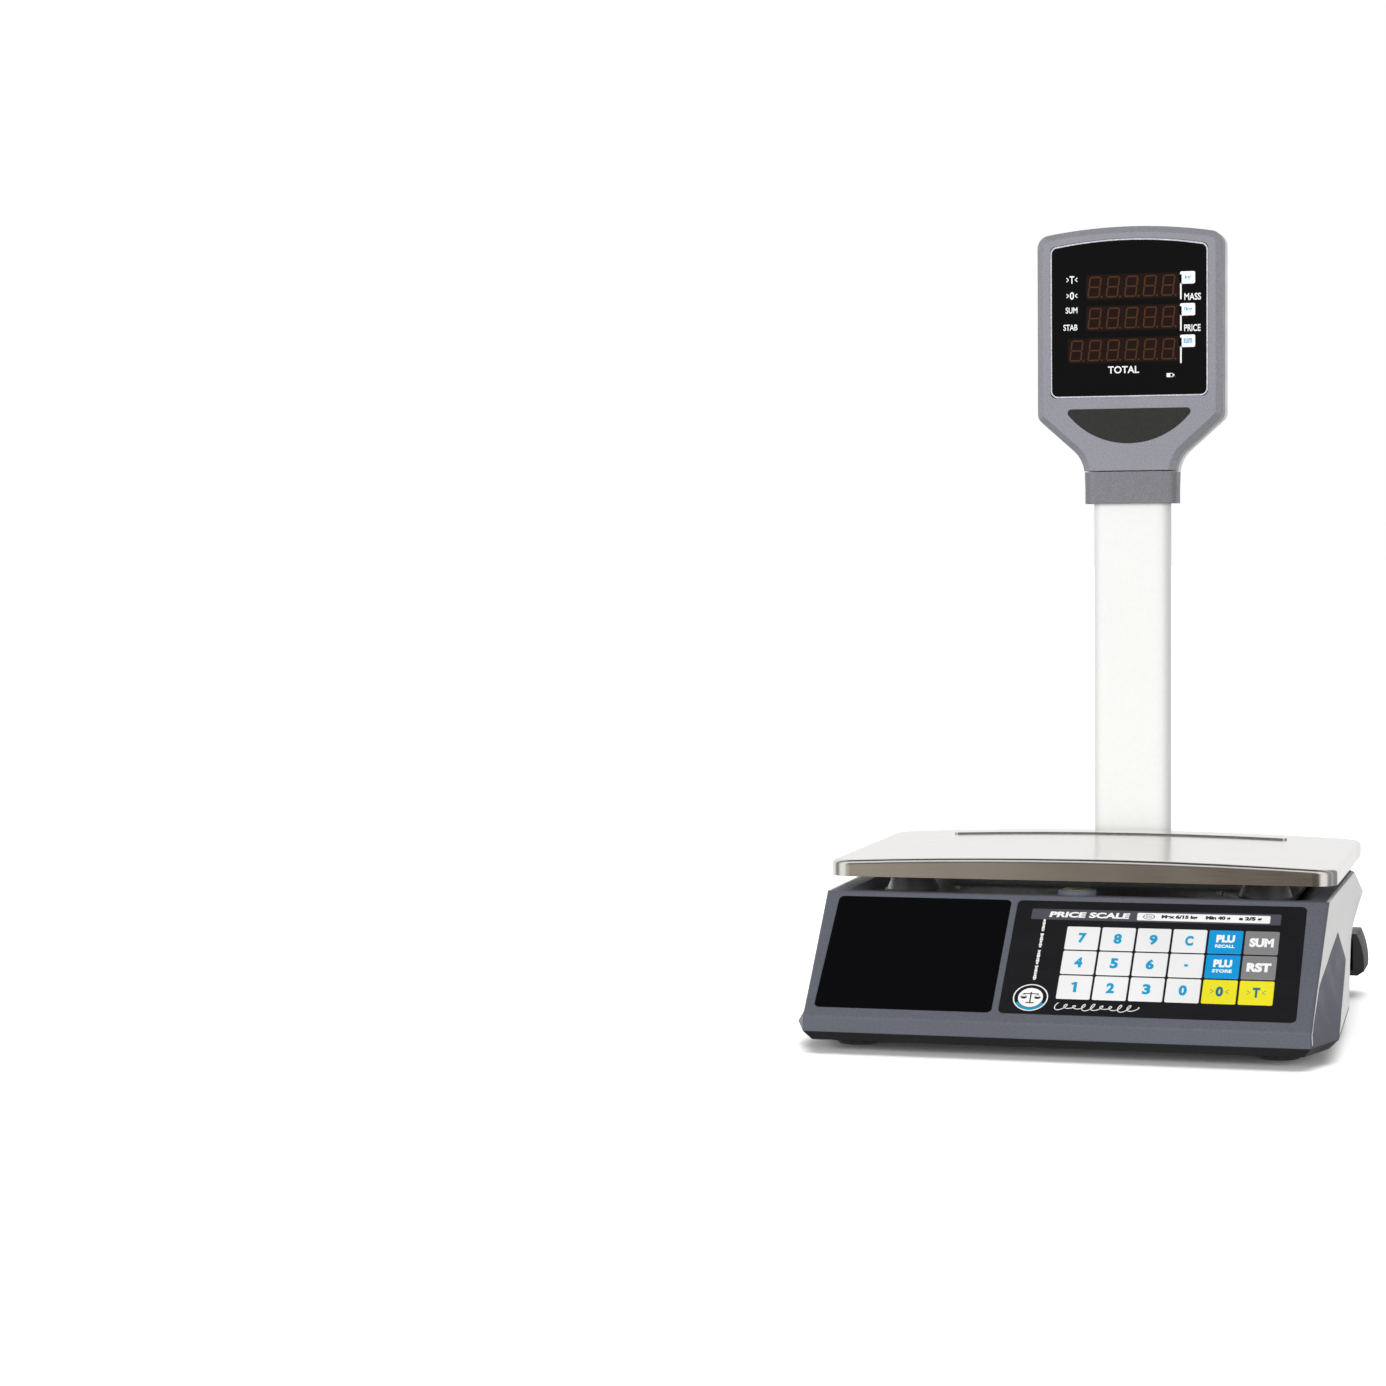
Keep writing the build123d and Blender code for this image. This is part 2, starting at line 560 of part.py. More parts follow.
def make_switch():
    """Rocker switch in the back wall: frame, and the rocker that tips on a pin across it."""
    half_w, half_h = SWITCH_HOLE[0] / 2, SWITCH_HOLE[1] / 2
    flange_y = (CASE_BACK_Y, CASE_BACK_Y + 1.6)
    flange = slab((SWITCH_X - 11.5, SWITCH_X + 11.5), flange_y, (PORT_Z - 8.5, PORT_Z + 8.5))
    flange = fillet(flange.edges().filter_by(Axis.Y), 1.5)
    body_x = (SWITCH_X - half_w + 0.1, SWITCH_X + half_w - 0.1)
    body = slab(body_x, (114, CASE_BACK_Y), (PORT_Z - half_h + 0.1, PORT_Z + half_h - 0.1))
    frame = body + flange
    frame -= slab((SWITCH_X - 7.5, SWITCH_X + 7.5), (123, 150), (PORT_Z - 5.2, PORT_Z + 5.2))
    pivot_y = ROCKER_PIVOT_Y
    barrel = Pos(SWITCH_X, pivot_y, PORT_Z) * Rot(0, 90, 0) * Cylinder(1.0, 19.0)
    frame -= Pos(SWITCH_X, pivot_y, PORT_Z) * Rot(0, 90, 0) * Cylinder(1.04, 19.4)
    profile = ((131.5, -4.2), (135.7, -4.4), (134.7, 0.0), (135.7, 4.4), (131.5, 4.2))
    face = make_face(Polyline([(SWITCH_X, y, PORT_Z + z) for y, z in profile], close=True))
    rocker = extrude(face, amount=7.2, dir=(1, 0, 0), both=True) + barrel
    rocker = rocker.rotate(Axis((SWITCH_X, pivot_y, PORT_Z), (1, 0, 0)), ROCKER_TIP)
    return frame, rocker


def make_jack():
    """Round low-voltage socket with its centre pin."""
    body = y_post(7.0, JACK_X, PORT_Z, (CASE_BACK_Y, CASE_BACK_Y + 1.5))
    body += y_post(3.95, JACK_X, PORT_Z, (116, CASE_BACK_Y))
    body -= y_post(2.75, JACK_X, PORT_Z, (124, CASE_BACK_Y + 5))
    return body + y_post(1.0, JACK_X, PORT_Z, (120, CASE_BACK_Y))


def make_data_port():
    """Nine-way serial socket for a printer or terminal."""
    wall = CASE_BACK_Y
    flange = slab((DATA_X - 15.5, DATA_X + 15.5), (wall, wall + 1.0), (PORT_Z - 6.3, PORT_Z + 6.3))
    shell = slab((DATA_X - 8.2, DATA_X + 8.2), (wall, wall + 6.0), (PORT_Z - 4.0, PORT_Z + 4.0))
    shell = chamfer(shell.edges().filter_by(Axis.Y), 1.8)
    back = slab((DATA_X - 9.3, DATA_X + 9.3), (118, wall), (PORT_Z - 4.8, PORT_Z + 4.8))
    port = flange + shell + back
    nut = Rot(90, 0, 0) * extrude(RegularPolygon(2.6, 6), amount=5.0)
    for x in (-12.4, 12.4):
        port += Pos(DATA_X + x, wall + 6.0, PORT_Z) * nut
    return port


# --- Pole -------------------------------------------------------------------------------------------
def make_bracket():
    """Rear stabiliser: a wide black bar behind the casing that carries the pole's socket."""
    front = CASE_BACK_Y + 0.3
    edges = [Line((-156.0, 9.0), (156.0, 9.0))]
    for s in (1, -1):
        edges.append(Line((s * 156.0, 9.0), (s * 160.4, 12.0)))
        edges.append(ThreePointArc((s * 160.4, 12.0), (s * 159.6, 25.0), (s * 155.5, 37.5)))
        edges.append(Polyline((s * 155.5, 37.5), (s * 60.0, 37.0), (s * 44.0, 50.0), (s * 38.0, 92.0)))
    edges.append(Line((38.0, 92.0), (-38.0, 92.0)))
    face = make_face(Curve() + edges)
    outer = Pos(0, REAR_Y, 0) * extrude(Plane.XZ * face, amount=REAR_Y - front)
    back_edges = [e for e in outer.edges() if abs(e.center().Y - REAR_Y) < 0.01]
    outer = chamfer(back_edges, 3.0)
    hollow = []
    for x in ((-153.0, -34.0), (34.0, 153.0)):
        hollow.append(slab(x, (front - 1, REAR_Y - 10), (12.5, 33.5)))
    bar = outer - hollow[0] - hollow[1]
    for x, z in BRACKET_SCREWS:
        bar += y_post(6.0, x, z, (front, REAR_Y - 9))
        bar -= y_post(1.5, x, z, (front - 1, front + 16))
    bar -= tube_block(POLE_W + 0.3, POLE_D + 0.3, 8.15, (POLE_BOTTOM_Z, 100))
    bar -= y_post(CABLE_HOLE_R, 0, CABLE_Z, (front - 1, POLE_Y))
    for z in POLE_SCREW_Z:
        bar -= y_post(SCREW_R, 0, z, (POLE_Y, REAR_Y + 1))
        bar -= y_post(4.2, 0, z, (REAR_Y - 3, REAR_Y + 1))
    return bar


def make_pole():
    pole = tube_block(POLE_W, POLE_D, 8.0, (POLE_BOTTOM_Z, POLE_TOP_Z))
    pole -= tube_block(
        POLE_W - 2 * POLE_WALL, POLE_D - 2 * POLE_WALL, 8.0 - POLE_WALL, (POLE_BOTTOM_Z - 1, POLE_TOP_Z + 1)
    )
    pole -= y_post(CABLE_HOLE_R, 0, CABLE_Z, (POLE_Y - 20, POLE_Y))
    for z in POLE_SCREW_Z:
        pole -= y_post(1.5, 0, z, (POLE_Y, POLE_Y + 20))
    return pole


def make_collar():
    """Socket on top of the pole, with the bore that the head turns in."""
    skirt = tube_block(COLLAR_W - 0.8, COLLAR_D - 0.8, 8.6, COLLAR_Z)
    foot = Pos(0, POLE_Y, COLLAR_Z[0]) * RectangleRounded(COLLAR_W - 1.4, COLLAR_D - 1.4, 8.3)
    brim = Pos(0, POLE_Y, COLLAR_Z[1]) * RectangleRounded(COLLAR_W, COLLAR_D, 9.0)
    flare = loft([foot.faces()[0], brim.faces()[0]], ruled=True)
    collar = skirt + flare
    collar -= tube_block(POLE_W + 0.3, POLE_D + 0.3, 8.15, (COLLAR_Z[0] - 1, POLE_TOP_Z))
    collar -= post(NUT_R + 0.7, 0, POLE_Y, (POLE_TOP_Z - 1, NUT_Z[1] + 0.2))
    collar -= post(SWIVEL_R + 0.05, 0, POLE_Y, (COLLAR_Z[0], COLLAR_Z[1] + 1))
    return collar


def make_swivel():
    """The hollow spindle that hangs from the head's neck and turns in the collar."""
    spindle = post(SWIVEL_R, 0, POLE_Y, (NUT_Z[0] - 1.5, NECK_FLANGE_Z[1]))
    spindle += post(14.0, 0, POLE_Y, NECK_FLANGE_Z)
    return spindle - post(7.0, 0, POLE_Y, (300, 400))


def make_swivel_nut():
    """Slotted ring nut under the collar's web."""
    nut = post(NUT_R, 0, POLE_Y, NUT_Z) - post(SWIVEL_R, 0, POLE_Y, (300, 400))
    for angle in (0, 90, 180, 270):
        nut -= Pos(0, POLE_Y, NUT_Z[0]) * Rot(0, 0, angle) * Pos(NUT_R, 0, 0) * Box(2.0, 3.0, 3.0)
    return nut


def make_cable():
    """Display lead: from the main board, through the back wall, and up inside the pole."""
    route = FilletPolyline(
        (-92, 39, 26),
        (-92, 60, 34),
        (-50, 100, 30),
        (0, 122, CABLE_Z),
        (0, POLE_Y, CABLE_Z + 1),
        (0, POLE_Y + 1, 70),
        (0, POLE_Y, 334),
        radius=11.0,
    )
    profile = Plane(origin=route @ 0, z_dir=route % 0) * Circle(2.5)
    return sweep(profile, path=route)


# --- Display head -----------------------------------------------------------------------------------
def head_outline():
    """Front view of the head: slightly arched top, straight sides, and a neck drawn in below."""
    w = HEAD_HALF_W
    top = ThreePointArc((-w, 516.0), (0, HEAD_TOP_Z), (w, 516.0))
    lines = [top]
    for s in (1, -1):
        lines.append(Polyline((s * w, 516.0), (s * w, 390.5), (s * 40.0, 369.0)))
        lines.append(ThreePointArc((s * 40.0, 369.0), (s * 34.3, 362.2), (s * 31.6, HEAD_Z)))
    lines.append(Line((31.6, HEAD_Z), (-31.6, HEAD_Z)))
    face = make_face(Curve() + lines)
    face = fillet(face.vertices().filter_by(lambda v: v.Y > 515), 9.0)
    return fillet(face.vertices().filter_by(lambda v: 389 < v.Y < 392), 8.0)


def head_block(y, by=0.0):
    face = head_outline()
    if by:
        face = offset(face, amount=-by)
    face = Plane.XZ * face
    return Pos(0, y[1], 0) * extrude(face, amount=y[1] - y[0])


def window_block(y, grow=0.0):
    half = WINDOW_HALF + grow
    bottom, corner, middle = WINDOW_Z[0] - grow, WINDOW_Z[1] + grow, WINDOW_Z[2] + grow
    arch = ThreePointArc((-half, corner), (0, middle), (half, corner))
    rest = Polyline((half, corner), (half, bottom), (-half, bottom), (-half, corner))
    face = make_face(Curve() + [arch, rest])
    face = fillet(face.vertices(), 4.0 + grow)
    return Pos(0, y[1], 0) * extrude(Plane.XZ * face, amount=y[1] - y[0])


def accent_block(y, grow=0.0):
    half = ACCENT_HALF + grow
    bowl = ThreePointArc((-half, ACCENT_Z[1] + grow), (0, ACCENT_Z[0] - grow), (half, ACCENT_Z[1] + grow))
    face = make_face(Curve() + [bowl, Line((half, ACCENT_Z[1] + grow), (-half, ACCENT_Z[1] + grow))])
    face = fillet(face.vertices(), 2.6)
    return Pos(0, y[1], 0) * extrude(Plane.XZ * face, amount=y[1] - y[0])


def head_shell(y, open_end):
    """Half of the head: walls all round, closed at the front or the back."""
    solid = head_block(y)
    face_y = HEAD_FRONT_Y if open_end == "back" else HEAD_BACK_Y
    rim = [
        e
        for e in solid.edges()
        if abs(e.center().Y - face_y) < 0.01 and e.center().Z > HEAD_Z + 0.5
    ]
    solid = chamfer(rim, 4.5)
    hollow_y = (y[0] + HEAD_WALL, y[1] + 1) if open_end == "back" else (y[0] - 1, y[1] - HEAD_WALL)
    return solid - head_block(hollow_y, HEAD_WALL)


def make_head_front():
    shell = head_shell((HEAD_FRONT_Y, HEAD_MID_Y), "back")
    for x, z in HEAD_SCREWS:
        shell += y_post(3.6, x, z, (HEAD_FRONT_Y + HEAD_WALL, HEAD_MID_Y))
        shell -= y_post(1.2, x, z, (HEAD_MID_Y - 10, HEAD_MID_Y + 1))
    shell += accent_block((HEAD_FRONT_Y + 1, HEAD_FRONT_Y + 3.4), 1.5)
    shell -= window_block((HEAD_FRONT_Y - 1, HEAD_FRONT_Y + 1.6))
    shell -= window_block((HEAD_FRONT_Y - 1, HEAD_FRONT_Y + 6), -3.0)
    shell -= accent_block((HEAD_FRONT_Y - 1, HEAD_FRONT_Y + 1.2))
    return shell - post(SWIVEL_R + 0.05, 0, POLE_Y, (HEAD_Z - 1, HEAD_Z + 4))


def make_head_back():
    shell = head_shell((HEAD_MID_Y, HEAD_BACK_Y), "front")
    for x, z in HEAD_SCREWS:
        shell += y_post(3.6, x, z, (HEAD_MID_Y, HEAD_BACK_Y - HEAD_WALL))
        shell -= y_post(1.7, x, z, (HEAD_MID_Y - 1, HEAD_BACK_Y + 1))
        shell -= y_post(3.0, x, z, (HEAD_BACK_Y - 5, HEAD_BACK_Y + 1))
    for i in range(7):
        z = 432.0 + 6.0 * i
        shell -= slab((-28, 28), (HEAD_BACK_Y - 5, HEAD_BACK_Y + 1), (z, z + 2.2))
    return shell - post(SWIVEL_R + 0.05, 0, POLE_Y, (HEAD_Z - 1, HEAD_Z + 4))


def make_head_screws():
    screws = []
    for x, z in HEAD_SCREWS:
        screw = y_post(2.8, x, z, (HEAD_BACK_Y - 5, HEAD_BACK_Y - 3))
        screw += y_post(1.15, x, z, (152.0, HEAD_BACK_Y - 5))
        screws.append(screw - slab((x - 1.8, x + 1.8), (HEAD_BACK_Y - 4, HEAD_BACK_Y), (z - 0.3, z + 0.3)))
    return group(screws)


def make_head_electronics():
    """Circuit board and three rows of digit modules behind the head's window."""
    board_y = 151.0
    board = slab((-50, 50), (board_y, board_y + 1.6), (408, 505))
    modules = []
    for digits, z in DIGIT_ROWS:
        right = DIGIT_RIGHT
        left = right - digits * DIGIT_PITCH
        modules.append(slab((left, right), (board_y - 6.5, board_y), (z - DIGIT_H / 2, z + DIGIT_H / 2)))
    return group([board, *modules])


def make_screws():
    """Screws of the casing, the stabiliser and the pole."""
    screws = []
    for x, y, _ in CASE_BOSSES:
        screws.append(post(3.2, x, y, (2.6, 4.4)) + post(1.2, x, y, (4.4, SPLIT_Z + 6)))
    for x, y in PLATE_POSTS:
        head = post(4.0, x, y, (PLATE_Z[1], PLATE_Z[1] + 2.4))
        screws.append(head + post(1.45, x, y, (11.0, PLATE_Z[1])))
    for x, z in BRACKET_SCREWS:
        head = y_post(3.8, x, z, (127.0, 130.0))
        screws.append(head + y_post(1.45, x, z, (130.0, CASE_BACK_Y + 14)))
    for z in POLE_SCREW_Z:
        head = y_post(3.9, 0, z, (REAR_Y - 3, REAR_Y - 0.6))
        screws.append(head + y_post(1.45, 0, z, (166.0, REAR_Y - 3)))
    return group(screws)


# --- Write every piece ------------------------------------------------------------------------------
def main():
    os.makedirs("parts", exist_ok=True)
    casing, covers = make_casing()
    save("upper_casing", casing)
    for name, cover in covers.items():
        save(name, cover)
    save("base_tray", make_tray())
    for name, foot in make_feet().items():
        save(name, foot)

    save("weighing_pan", make_pan())
    save("pan_carrier", make_carrier())
    save("pan_pads", make_pads())
    save("load_cell", make_load_cell())
    save("load_cell_plate", make_cell_plate())
    save("fixed_cell_screws", make_fixed_cell_screws())
    save("moving_cell_screws", make_moving_cell_screws())
    save("overload_stops", make_overload_stops())

    save("operator_window", make_window())
    save("keypad_overlay", make_overlay())
    for name, u, v in key_centres():
        save(name, make_key(u, v))
    save("keypad_board", make_keypad_board())
    save("keypad_backplate", make_backplate())
    save("operator_display_board", make_operator_display())

    save("main_board", make_main_board())
    save("battery", make_battery())
    cup, vial = make_level()
    save("level_cup", cup)
    save("level_vial", vial)
    frame, rocker = make_switch()
    save("switch_frame", frame)
    save("power_rocker", rocker)
    save("power_jack", make_jack())
    save("data_port", make_data_port())

    save("rear_stabiliser", make_bracket())
    save("pole", make_pole())
    save("pole_collar", make_collar())
    save("display_lead", make_cable())
    save("assembly_screws", make_screws())

    save("head_front", make_head_front())
    save("head_back", make_head_back())
    save("head_window", window_block((HEAD_FRONT_Y + 0.2, HEAD_FRONT_Y + 1.6), -SLIP))
    save("head_accent", accent_block((HEAD_FRONT_Y + 0.2, HEAD_FRONT_Y + 1.2), -SLIP))
    save("head_board", make_head_electronics())
    save("head_screws", make_head_screws())
    save("head_swivel", make_swivel())
    save("swivel_nut", make_swivel_nut())


main()
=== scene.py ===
import json
from math import atan2, cos, pi, sin

import bmesh
import bpy
from mathutils import Matrix, Vector


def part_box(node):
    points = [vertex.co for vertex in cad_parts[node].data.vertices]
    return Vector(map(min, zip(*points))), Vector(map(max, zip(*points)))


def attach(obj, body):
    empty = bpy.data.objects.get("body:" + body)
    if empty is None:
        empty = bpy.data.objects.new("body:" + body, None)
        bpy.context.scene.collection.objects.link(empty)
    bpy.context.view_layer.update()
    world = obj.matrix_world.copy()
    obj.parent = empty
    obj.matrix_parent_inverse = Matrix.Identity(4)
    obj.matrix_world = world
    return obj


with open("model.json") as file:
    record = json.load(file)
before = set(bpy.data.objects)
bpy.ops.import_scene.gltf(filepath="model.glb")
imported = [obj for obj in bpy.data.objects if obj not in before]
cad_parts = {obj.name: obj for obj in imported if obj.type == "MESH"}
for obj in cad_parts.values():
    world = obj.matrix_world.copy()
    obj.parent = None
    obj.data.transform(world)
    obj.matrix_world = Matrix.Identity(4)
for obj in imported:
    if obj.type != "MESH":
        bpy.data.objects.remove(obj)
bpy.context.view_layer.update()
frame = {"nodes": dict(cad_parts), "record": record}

MM = 0.001
PANEL_FOOT = (0.0, -186.0, 15.0)  # line where the control panel's plane reaches the foot of the casing
PANEL_RISE = 76.0
PANEL_RUN = 88.0
PANEL_SLOPE = atan2(PANEL_RISE, PANEL_RUN)
DATUM_Z = 6.0  # heights on the display head are measured from here
OVERLAY_W = -0.2  # printed face of the keypad film, below the panel's plane
KEY_W = 0.1  # printed face of the keys
INK = 0.05  # thickness of a printed layer
KEY_PITCH = (21.8, 20.0)
KEY_FIRST = (10.4, 82.0)
DIGIT_PITCH = 12.7
WINDOW_CORNER = 5.0  # corner radius of the head's window
WINDOW_ARCH = 5.0  # how far the window's top rises from its sides to its middle


# --- Camera -----------------------------------------------------------------------------------------
def place_camera():
    data = bpy.data.cameras.new("camera")
    data.sensor_width = 36.0
    data.lens = 82.67
    data.clip_start = 0.01
    camera = bpy.data.objects.new("camera", data)
    bpy.context.scene.collection.objects.link(camera)
    yaw, pitch, roll = 0.284, 0.0484, -0.0081
    camera.matrix_world = (
        Matrix.Translation((0.3269, -2.057, 0.3153))
        @ Matrix.Rotation(yaw, 4, "Z")
        @ Matrix.Rotation(pi / 2 - pitch, 4, "X")
        @ Matrix.Rotation(roll, 4, "Z")
    )
    bpy.context.scene.camera = camera


# --- Material building blocks -----------------------------------------------------------------------
def new_surface(name):
    material = bpy.data.materials.new(name)
    material.use_nodes = True
    return material, material.node_tree, material.node_tree.nodes["Principled BSDF"]


def noise(tree, scale, detail=3.0, stretch=(1.0, 1.0, 1.0)):
    """A noise value in the row frame. Scale is in waves per metre."""
    coords = tree.nodes.new("ShaderNodeTexCoord")
    mapping = tree.nodes.new("ShaderNodeMapping")
    mapping.inputs["Scale"].default_value = stretch
    texture = tree.nodes.new("ShaderNodeTexNoise")
    texture.inputs["Scale"].default_value = scale
    texture.inputs["Detail"].default_value = detail
    tree.links.new(coords.outputs["Object"], mapping.inputs["Vector"])
    tree.links.new(mapping.outputs["Vector"], texture.inputs["Vector"])
    return texture.outputs["Fac"]


def cells(tree, scale, stretch=(1.0, 1.0, 1.0)):
    """Distance to the middle of the nearest cell, for grain and weave."""
    coords = tree.nodes.new("ShaderNodeTexCoord")
    mapping = tree.nodes.new("ShaderNodeMapping")
    mapping.inputs["Scale"].default_value = stretch
    texture = tree.nodes.new("ShaderNodeTexVoronoi")
    texture.inputs["Scale"].default_value = scale
    tree.links.new(coords.outputs["Object"], mapping.inputs["Vector"])
    tree.links.new(mapping.outputs["Vector"], texture.inputs["Vector"])
    return texture.outputs["Distance"]


def ranged(tree, value, low, high, start=0.35, end=0.65):
    node = tree.nodes.new("ShaderNodeMapRange")
    node.inputs["From Min"].default_value = start
    node.inputs["From Max"].default_value = end
    node.inputs["To Min"].default_value = low
    node.inputs["To Max"].default_value = high
    tree.links.new(value, node.inputs["Value"])
    return node.outputs["Result"]


def blended(tree, amount, first, second):
    """Mix of two colours, each a tuple or another node's output."""
    node = tree.nodes.new("ShaderNodeMix")
    node.data_type = "RGBA"
    tree.links.new(amount, node.inputs[0])
    for socket, colour in ((node.inputs[6], first), (node.inputs[7], second)):
        if isinstance(colour, tuple):
            socket.default_value = (*colour[:3], 1.0)
        else:
            tree.links.new(colour, socket)
    return node.outputs[2]


def shaded(colour, factor):
    return tuple(min(1.0, c * factor) for c in colour)


def relief(tree, height, strength, distance, normal=None):
    node = tree.nodes.new("ShaderNodeBump")
    node.inputs["Strength"].default_value = strength
    node.inputs["Distance"].default_value = distance
    tree.links.new(height, node.inputs["Height"])
    if normal is not None:
        tree.links.new(normal, node.inputs["Normal"])
    return node.outputs["Normal"]


def soft_edges(tree, radius):
    node = tree.nodes.new("ShaderNodeBevel")
    node.samples = 4
    node.inputs["Radius"].default_value = radius
    return node.outputs["Normal"]


def moulded(
    name, colour, roughness, speckle=0.08, grain=900.0, depth=0.00003, edge=0.0005, clouds=0.05, shine=0.5
):
    """Moulded plastic or rubber: fine grain, faint colour clouds, rubbed patches and softened edges."""
    material, tree, shader = new_surface(name)
    shader.inputs["Specular IOR Level"].default_value = shine
    fine = ranged(tree, noise(tree, grain, 2.0), 0.0, 1.0)
    broad = ranged(tree, noise(tree, 14.0, 4.0), 0.0, 1.0, 0.3, 0.7)
    tint = blended(tree, fine, shaded(colour, 1 - speckle), shaded(colour, 1 + speckle))
    haze = blended(tree, fine, shaded(colour, 1 + clouds - speckle), shaded(colour, 1 + clouds + speckle))
    tree.links.new(blended(tree, broad, tint, haze), shader.inputs["Base Color"])
    rubbed = ranged(tree, noise(tree, 45.0, 5.0), roughness - 0.07, roughness + 0.06, 0.3, 0.7)
    tree.links.new(rubbed, shader.inputs["Roughness"])
    normal = relief(tree, noise(tree, grain, 3.0), 0.6, depth, soft_edges(tree, edge))
    tree.links.new(normal, shader.inputs["Normal"])
    return material


def metal(
    name, colour, roughness, brush=(1.0, 1.0, 1.0), scale=700.0, spread=0.1, depth=0.000004, edge=0.0003
):
    """Bare metal: brushing or casting grain, smudges and softened edges."""
    material, tree, shader = new_surface(name)
    lines = noise(tree, scale, 3.0, brush)
    smudges = noise(tree, 22.0, 5.0)
    tone = ranged(tree, smudges, 0.0, 1.0, 0.3, 0.7)
    toned = blended(tree, tone, shaded(colour, 0.94), shaded(colour, 1.05))
    tree.links.new(toned, shader.inputs["Base Color"])
    shader.inputs["Metallic"].default_value = 1.0
    streaks = ranged(tree, lines, roughness - spread / 2, roughness + spread / 2, 0.3, 0.7)
    film = ranged(tree, smudges, 0.0, spread / 2, 0.45, 0.7)
    total = tree.nodes.new("ShaderNodeMath")
    tree.links.new(streaks, total.inputs[0])
    tree.links.new(film, total.inputs[1])
    tree.links.new(total.outputs[0], shader.inputs["Roughness"])
    normal = relief(tree, lines, 0.5, depth, soft_edges(tree, edge))
    tree.links.new(normal, shader.inputs["Normal"])
    return material


def glossy_film(name, colour, roughness, coat=0.0, dust=0.02, depth=0.000004, edge=0.00025):
    """Printed film or acrylic: smooth, with fine dust, wiped smudges and an orange-peel surface."""
    material, tree, shader = new_surface(name)
    specks = ranged(tree, noise(tree, 1500.0, 2.0), 0.0, 1.0, 0.62, 0.8)
    dusty = tuple(min(1.0, c + dust) for c in colour)
    clouds = ranged(tree, noise(tree, 18.0, 4.0), 0.0, 1.0, 0.3, 0.7)
    base = blended(tree, clouds, shaded(colour, 0.96), shaded(colour, 1.03))
    tree.links.new(blended(tree, specks, base, dusty), shader.inputs["Base Color"])
    wiped = noise(tree, 30.0, 6.0, (1.0, 2.5, 2.5))
    tree.links.new(ranged(tree, wiped, roughness, roughness + 0.08, 0.45, 0.75), shader.inputs["Roughness"])
    shader.inputs["Coat Weight"].default_value = coat
    shader.inputs["Coat Roughness"].default_value = 0.06
    normal = relief(tree, noise(tree, 260.0, 2.0), 0.4, depth, soft_edges(tree, edge))
    tree.links.new(normal, shader.inputs["Normal"])
    return material


def woven_film(name, colour):
    """Film with a fine pinhead emboss, used on the head's accent."""
    material, tree, shader = new_surface(name)
    pins = cells(tree, 1100.0)
    tint = ranged(tree, pins, 0.0, 1.0, 0.1, 0.6)
    tinted = blended(tree, tint, shaded(colour, 1.25), shaded(colour, 0.8))
    tree.links.new(tinted, shader.inputs["Base Color"])
    worn = ranged(tree, noise(tree, 40.0, 4.0), 0.45, 0.62, 0.3, 0.7)
    tree.links.new(worn, shader.inputs["Roughness"])
    normal = relief(tree, pins, 0.7, 0.00006, soft_edges(tree, 0.0003))
    tree.links.new(normal, shader.inputs["Normal"])
    return material


def circuit(name, colour):
    """Solder mask over copper: darker mask, lighter tracks and a little gloss."""
    material, tree, shader = new_surface(name)
    coords = tree.nodes.new("ShaderNodeTexCoord")
    tracks = tree.nodes.new("ShaderNodeTexBrick")
    tracks.inputs["Scale"].default_value = 260.0
    tracks.inputs["Mortar Size"].default_value = 0.06
    tracks.inputs["Color1"].default_value = (*shaded(colour, 0.8), 1.0)
    tracks.inputs["Color2"].default_value = (*shaded(colour, 1.1), 1.0)
    tracks.inputs["Mortar"].default_value = (*shaded(colour, 1.9), 1.0)
    tree.links.new(coords.outputs["Object"], tracks.inputs["Vector"])
    tree.links.new(tracks.outputs["Color"], shader.inputs["Base Color"])
    flux = ranged(tree, noise(tree, 90.0, 4.0), 0.25, 0.45, 0.3, 0.7)
    tree.links.new(flux, shader.inputs["Roughness"])
    tree.links.new(relief(tree, tracks.outputs["Fac"], 0.5, 0.00004), shader.inputs["Normal"])
    return material


def clear_vial(name, colour):
    """Level vial: clear cap over tinted fluid, with a paler bubble-like cloud."""
    material, tree, shader = new_surface(name)
    cloud = ranged(tree, noise(tree, 160.0, 2.0), 0.0, 1.0, 0.4, 0.7)
    tree.links.new(blended(tree, cloud, colour, shaded(colour, 1.25)), shader.inputs["Base Color"])
    tree.links.new(ranged(tree, noise(tree, 60.0), 0.03, 0.1), shader.inputs["Roughness"])
    shader.inputs["Transmission Weight"].default_value = 0.45
    return material


SLATE = (0.108, 0.112, 0.138)
SLATE_HEAD = (0.258, 0.257, 0.290)
SLATE_COLLAR = (0.190, 0.188, 0.206)
CYAN = (0.006, 0.290, 0.640)
BRUSH_X = (0.02, 1.0, 1.0)  # brushing that runs along X
HEAD_GRAIN = {"speckle": 0.14, "grain": 1050.0, "depth": 0.00005, "edge": 0.0006}

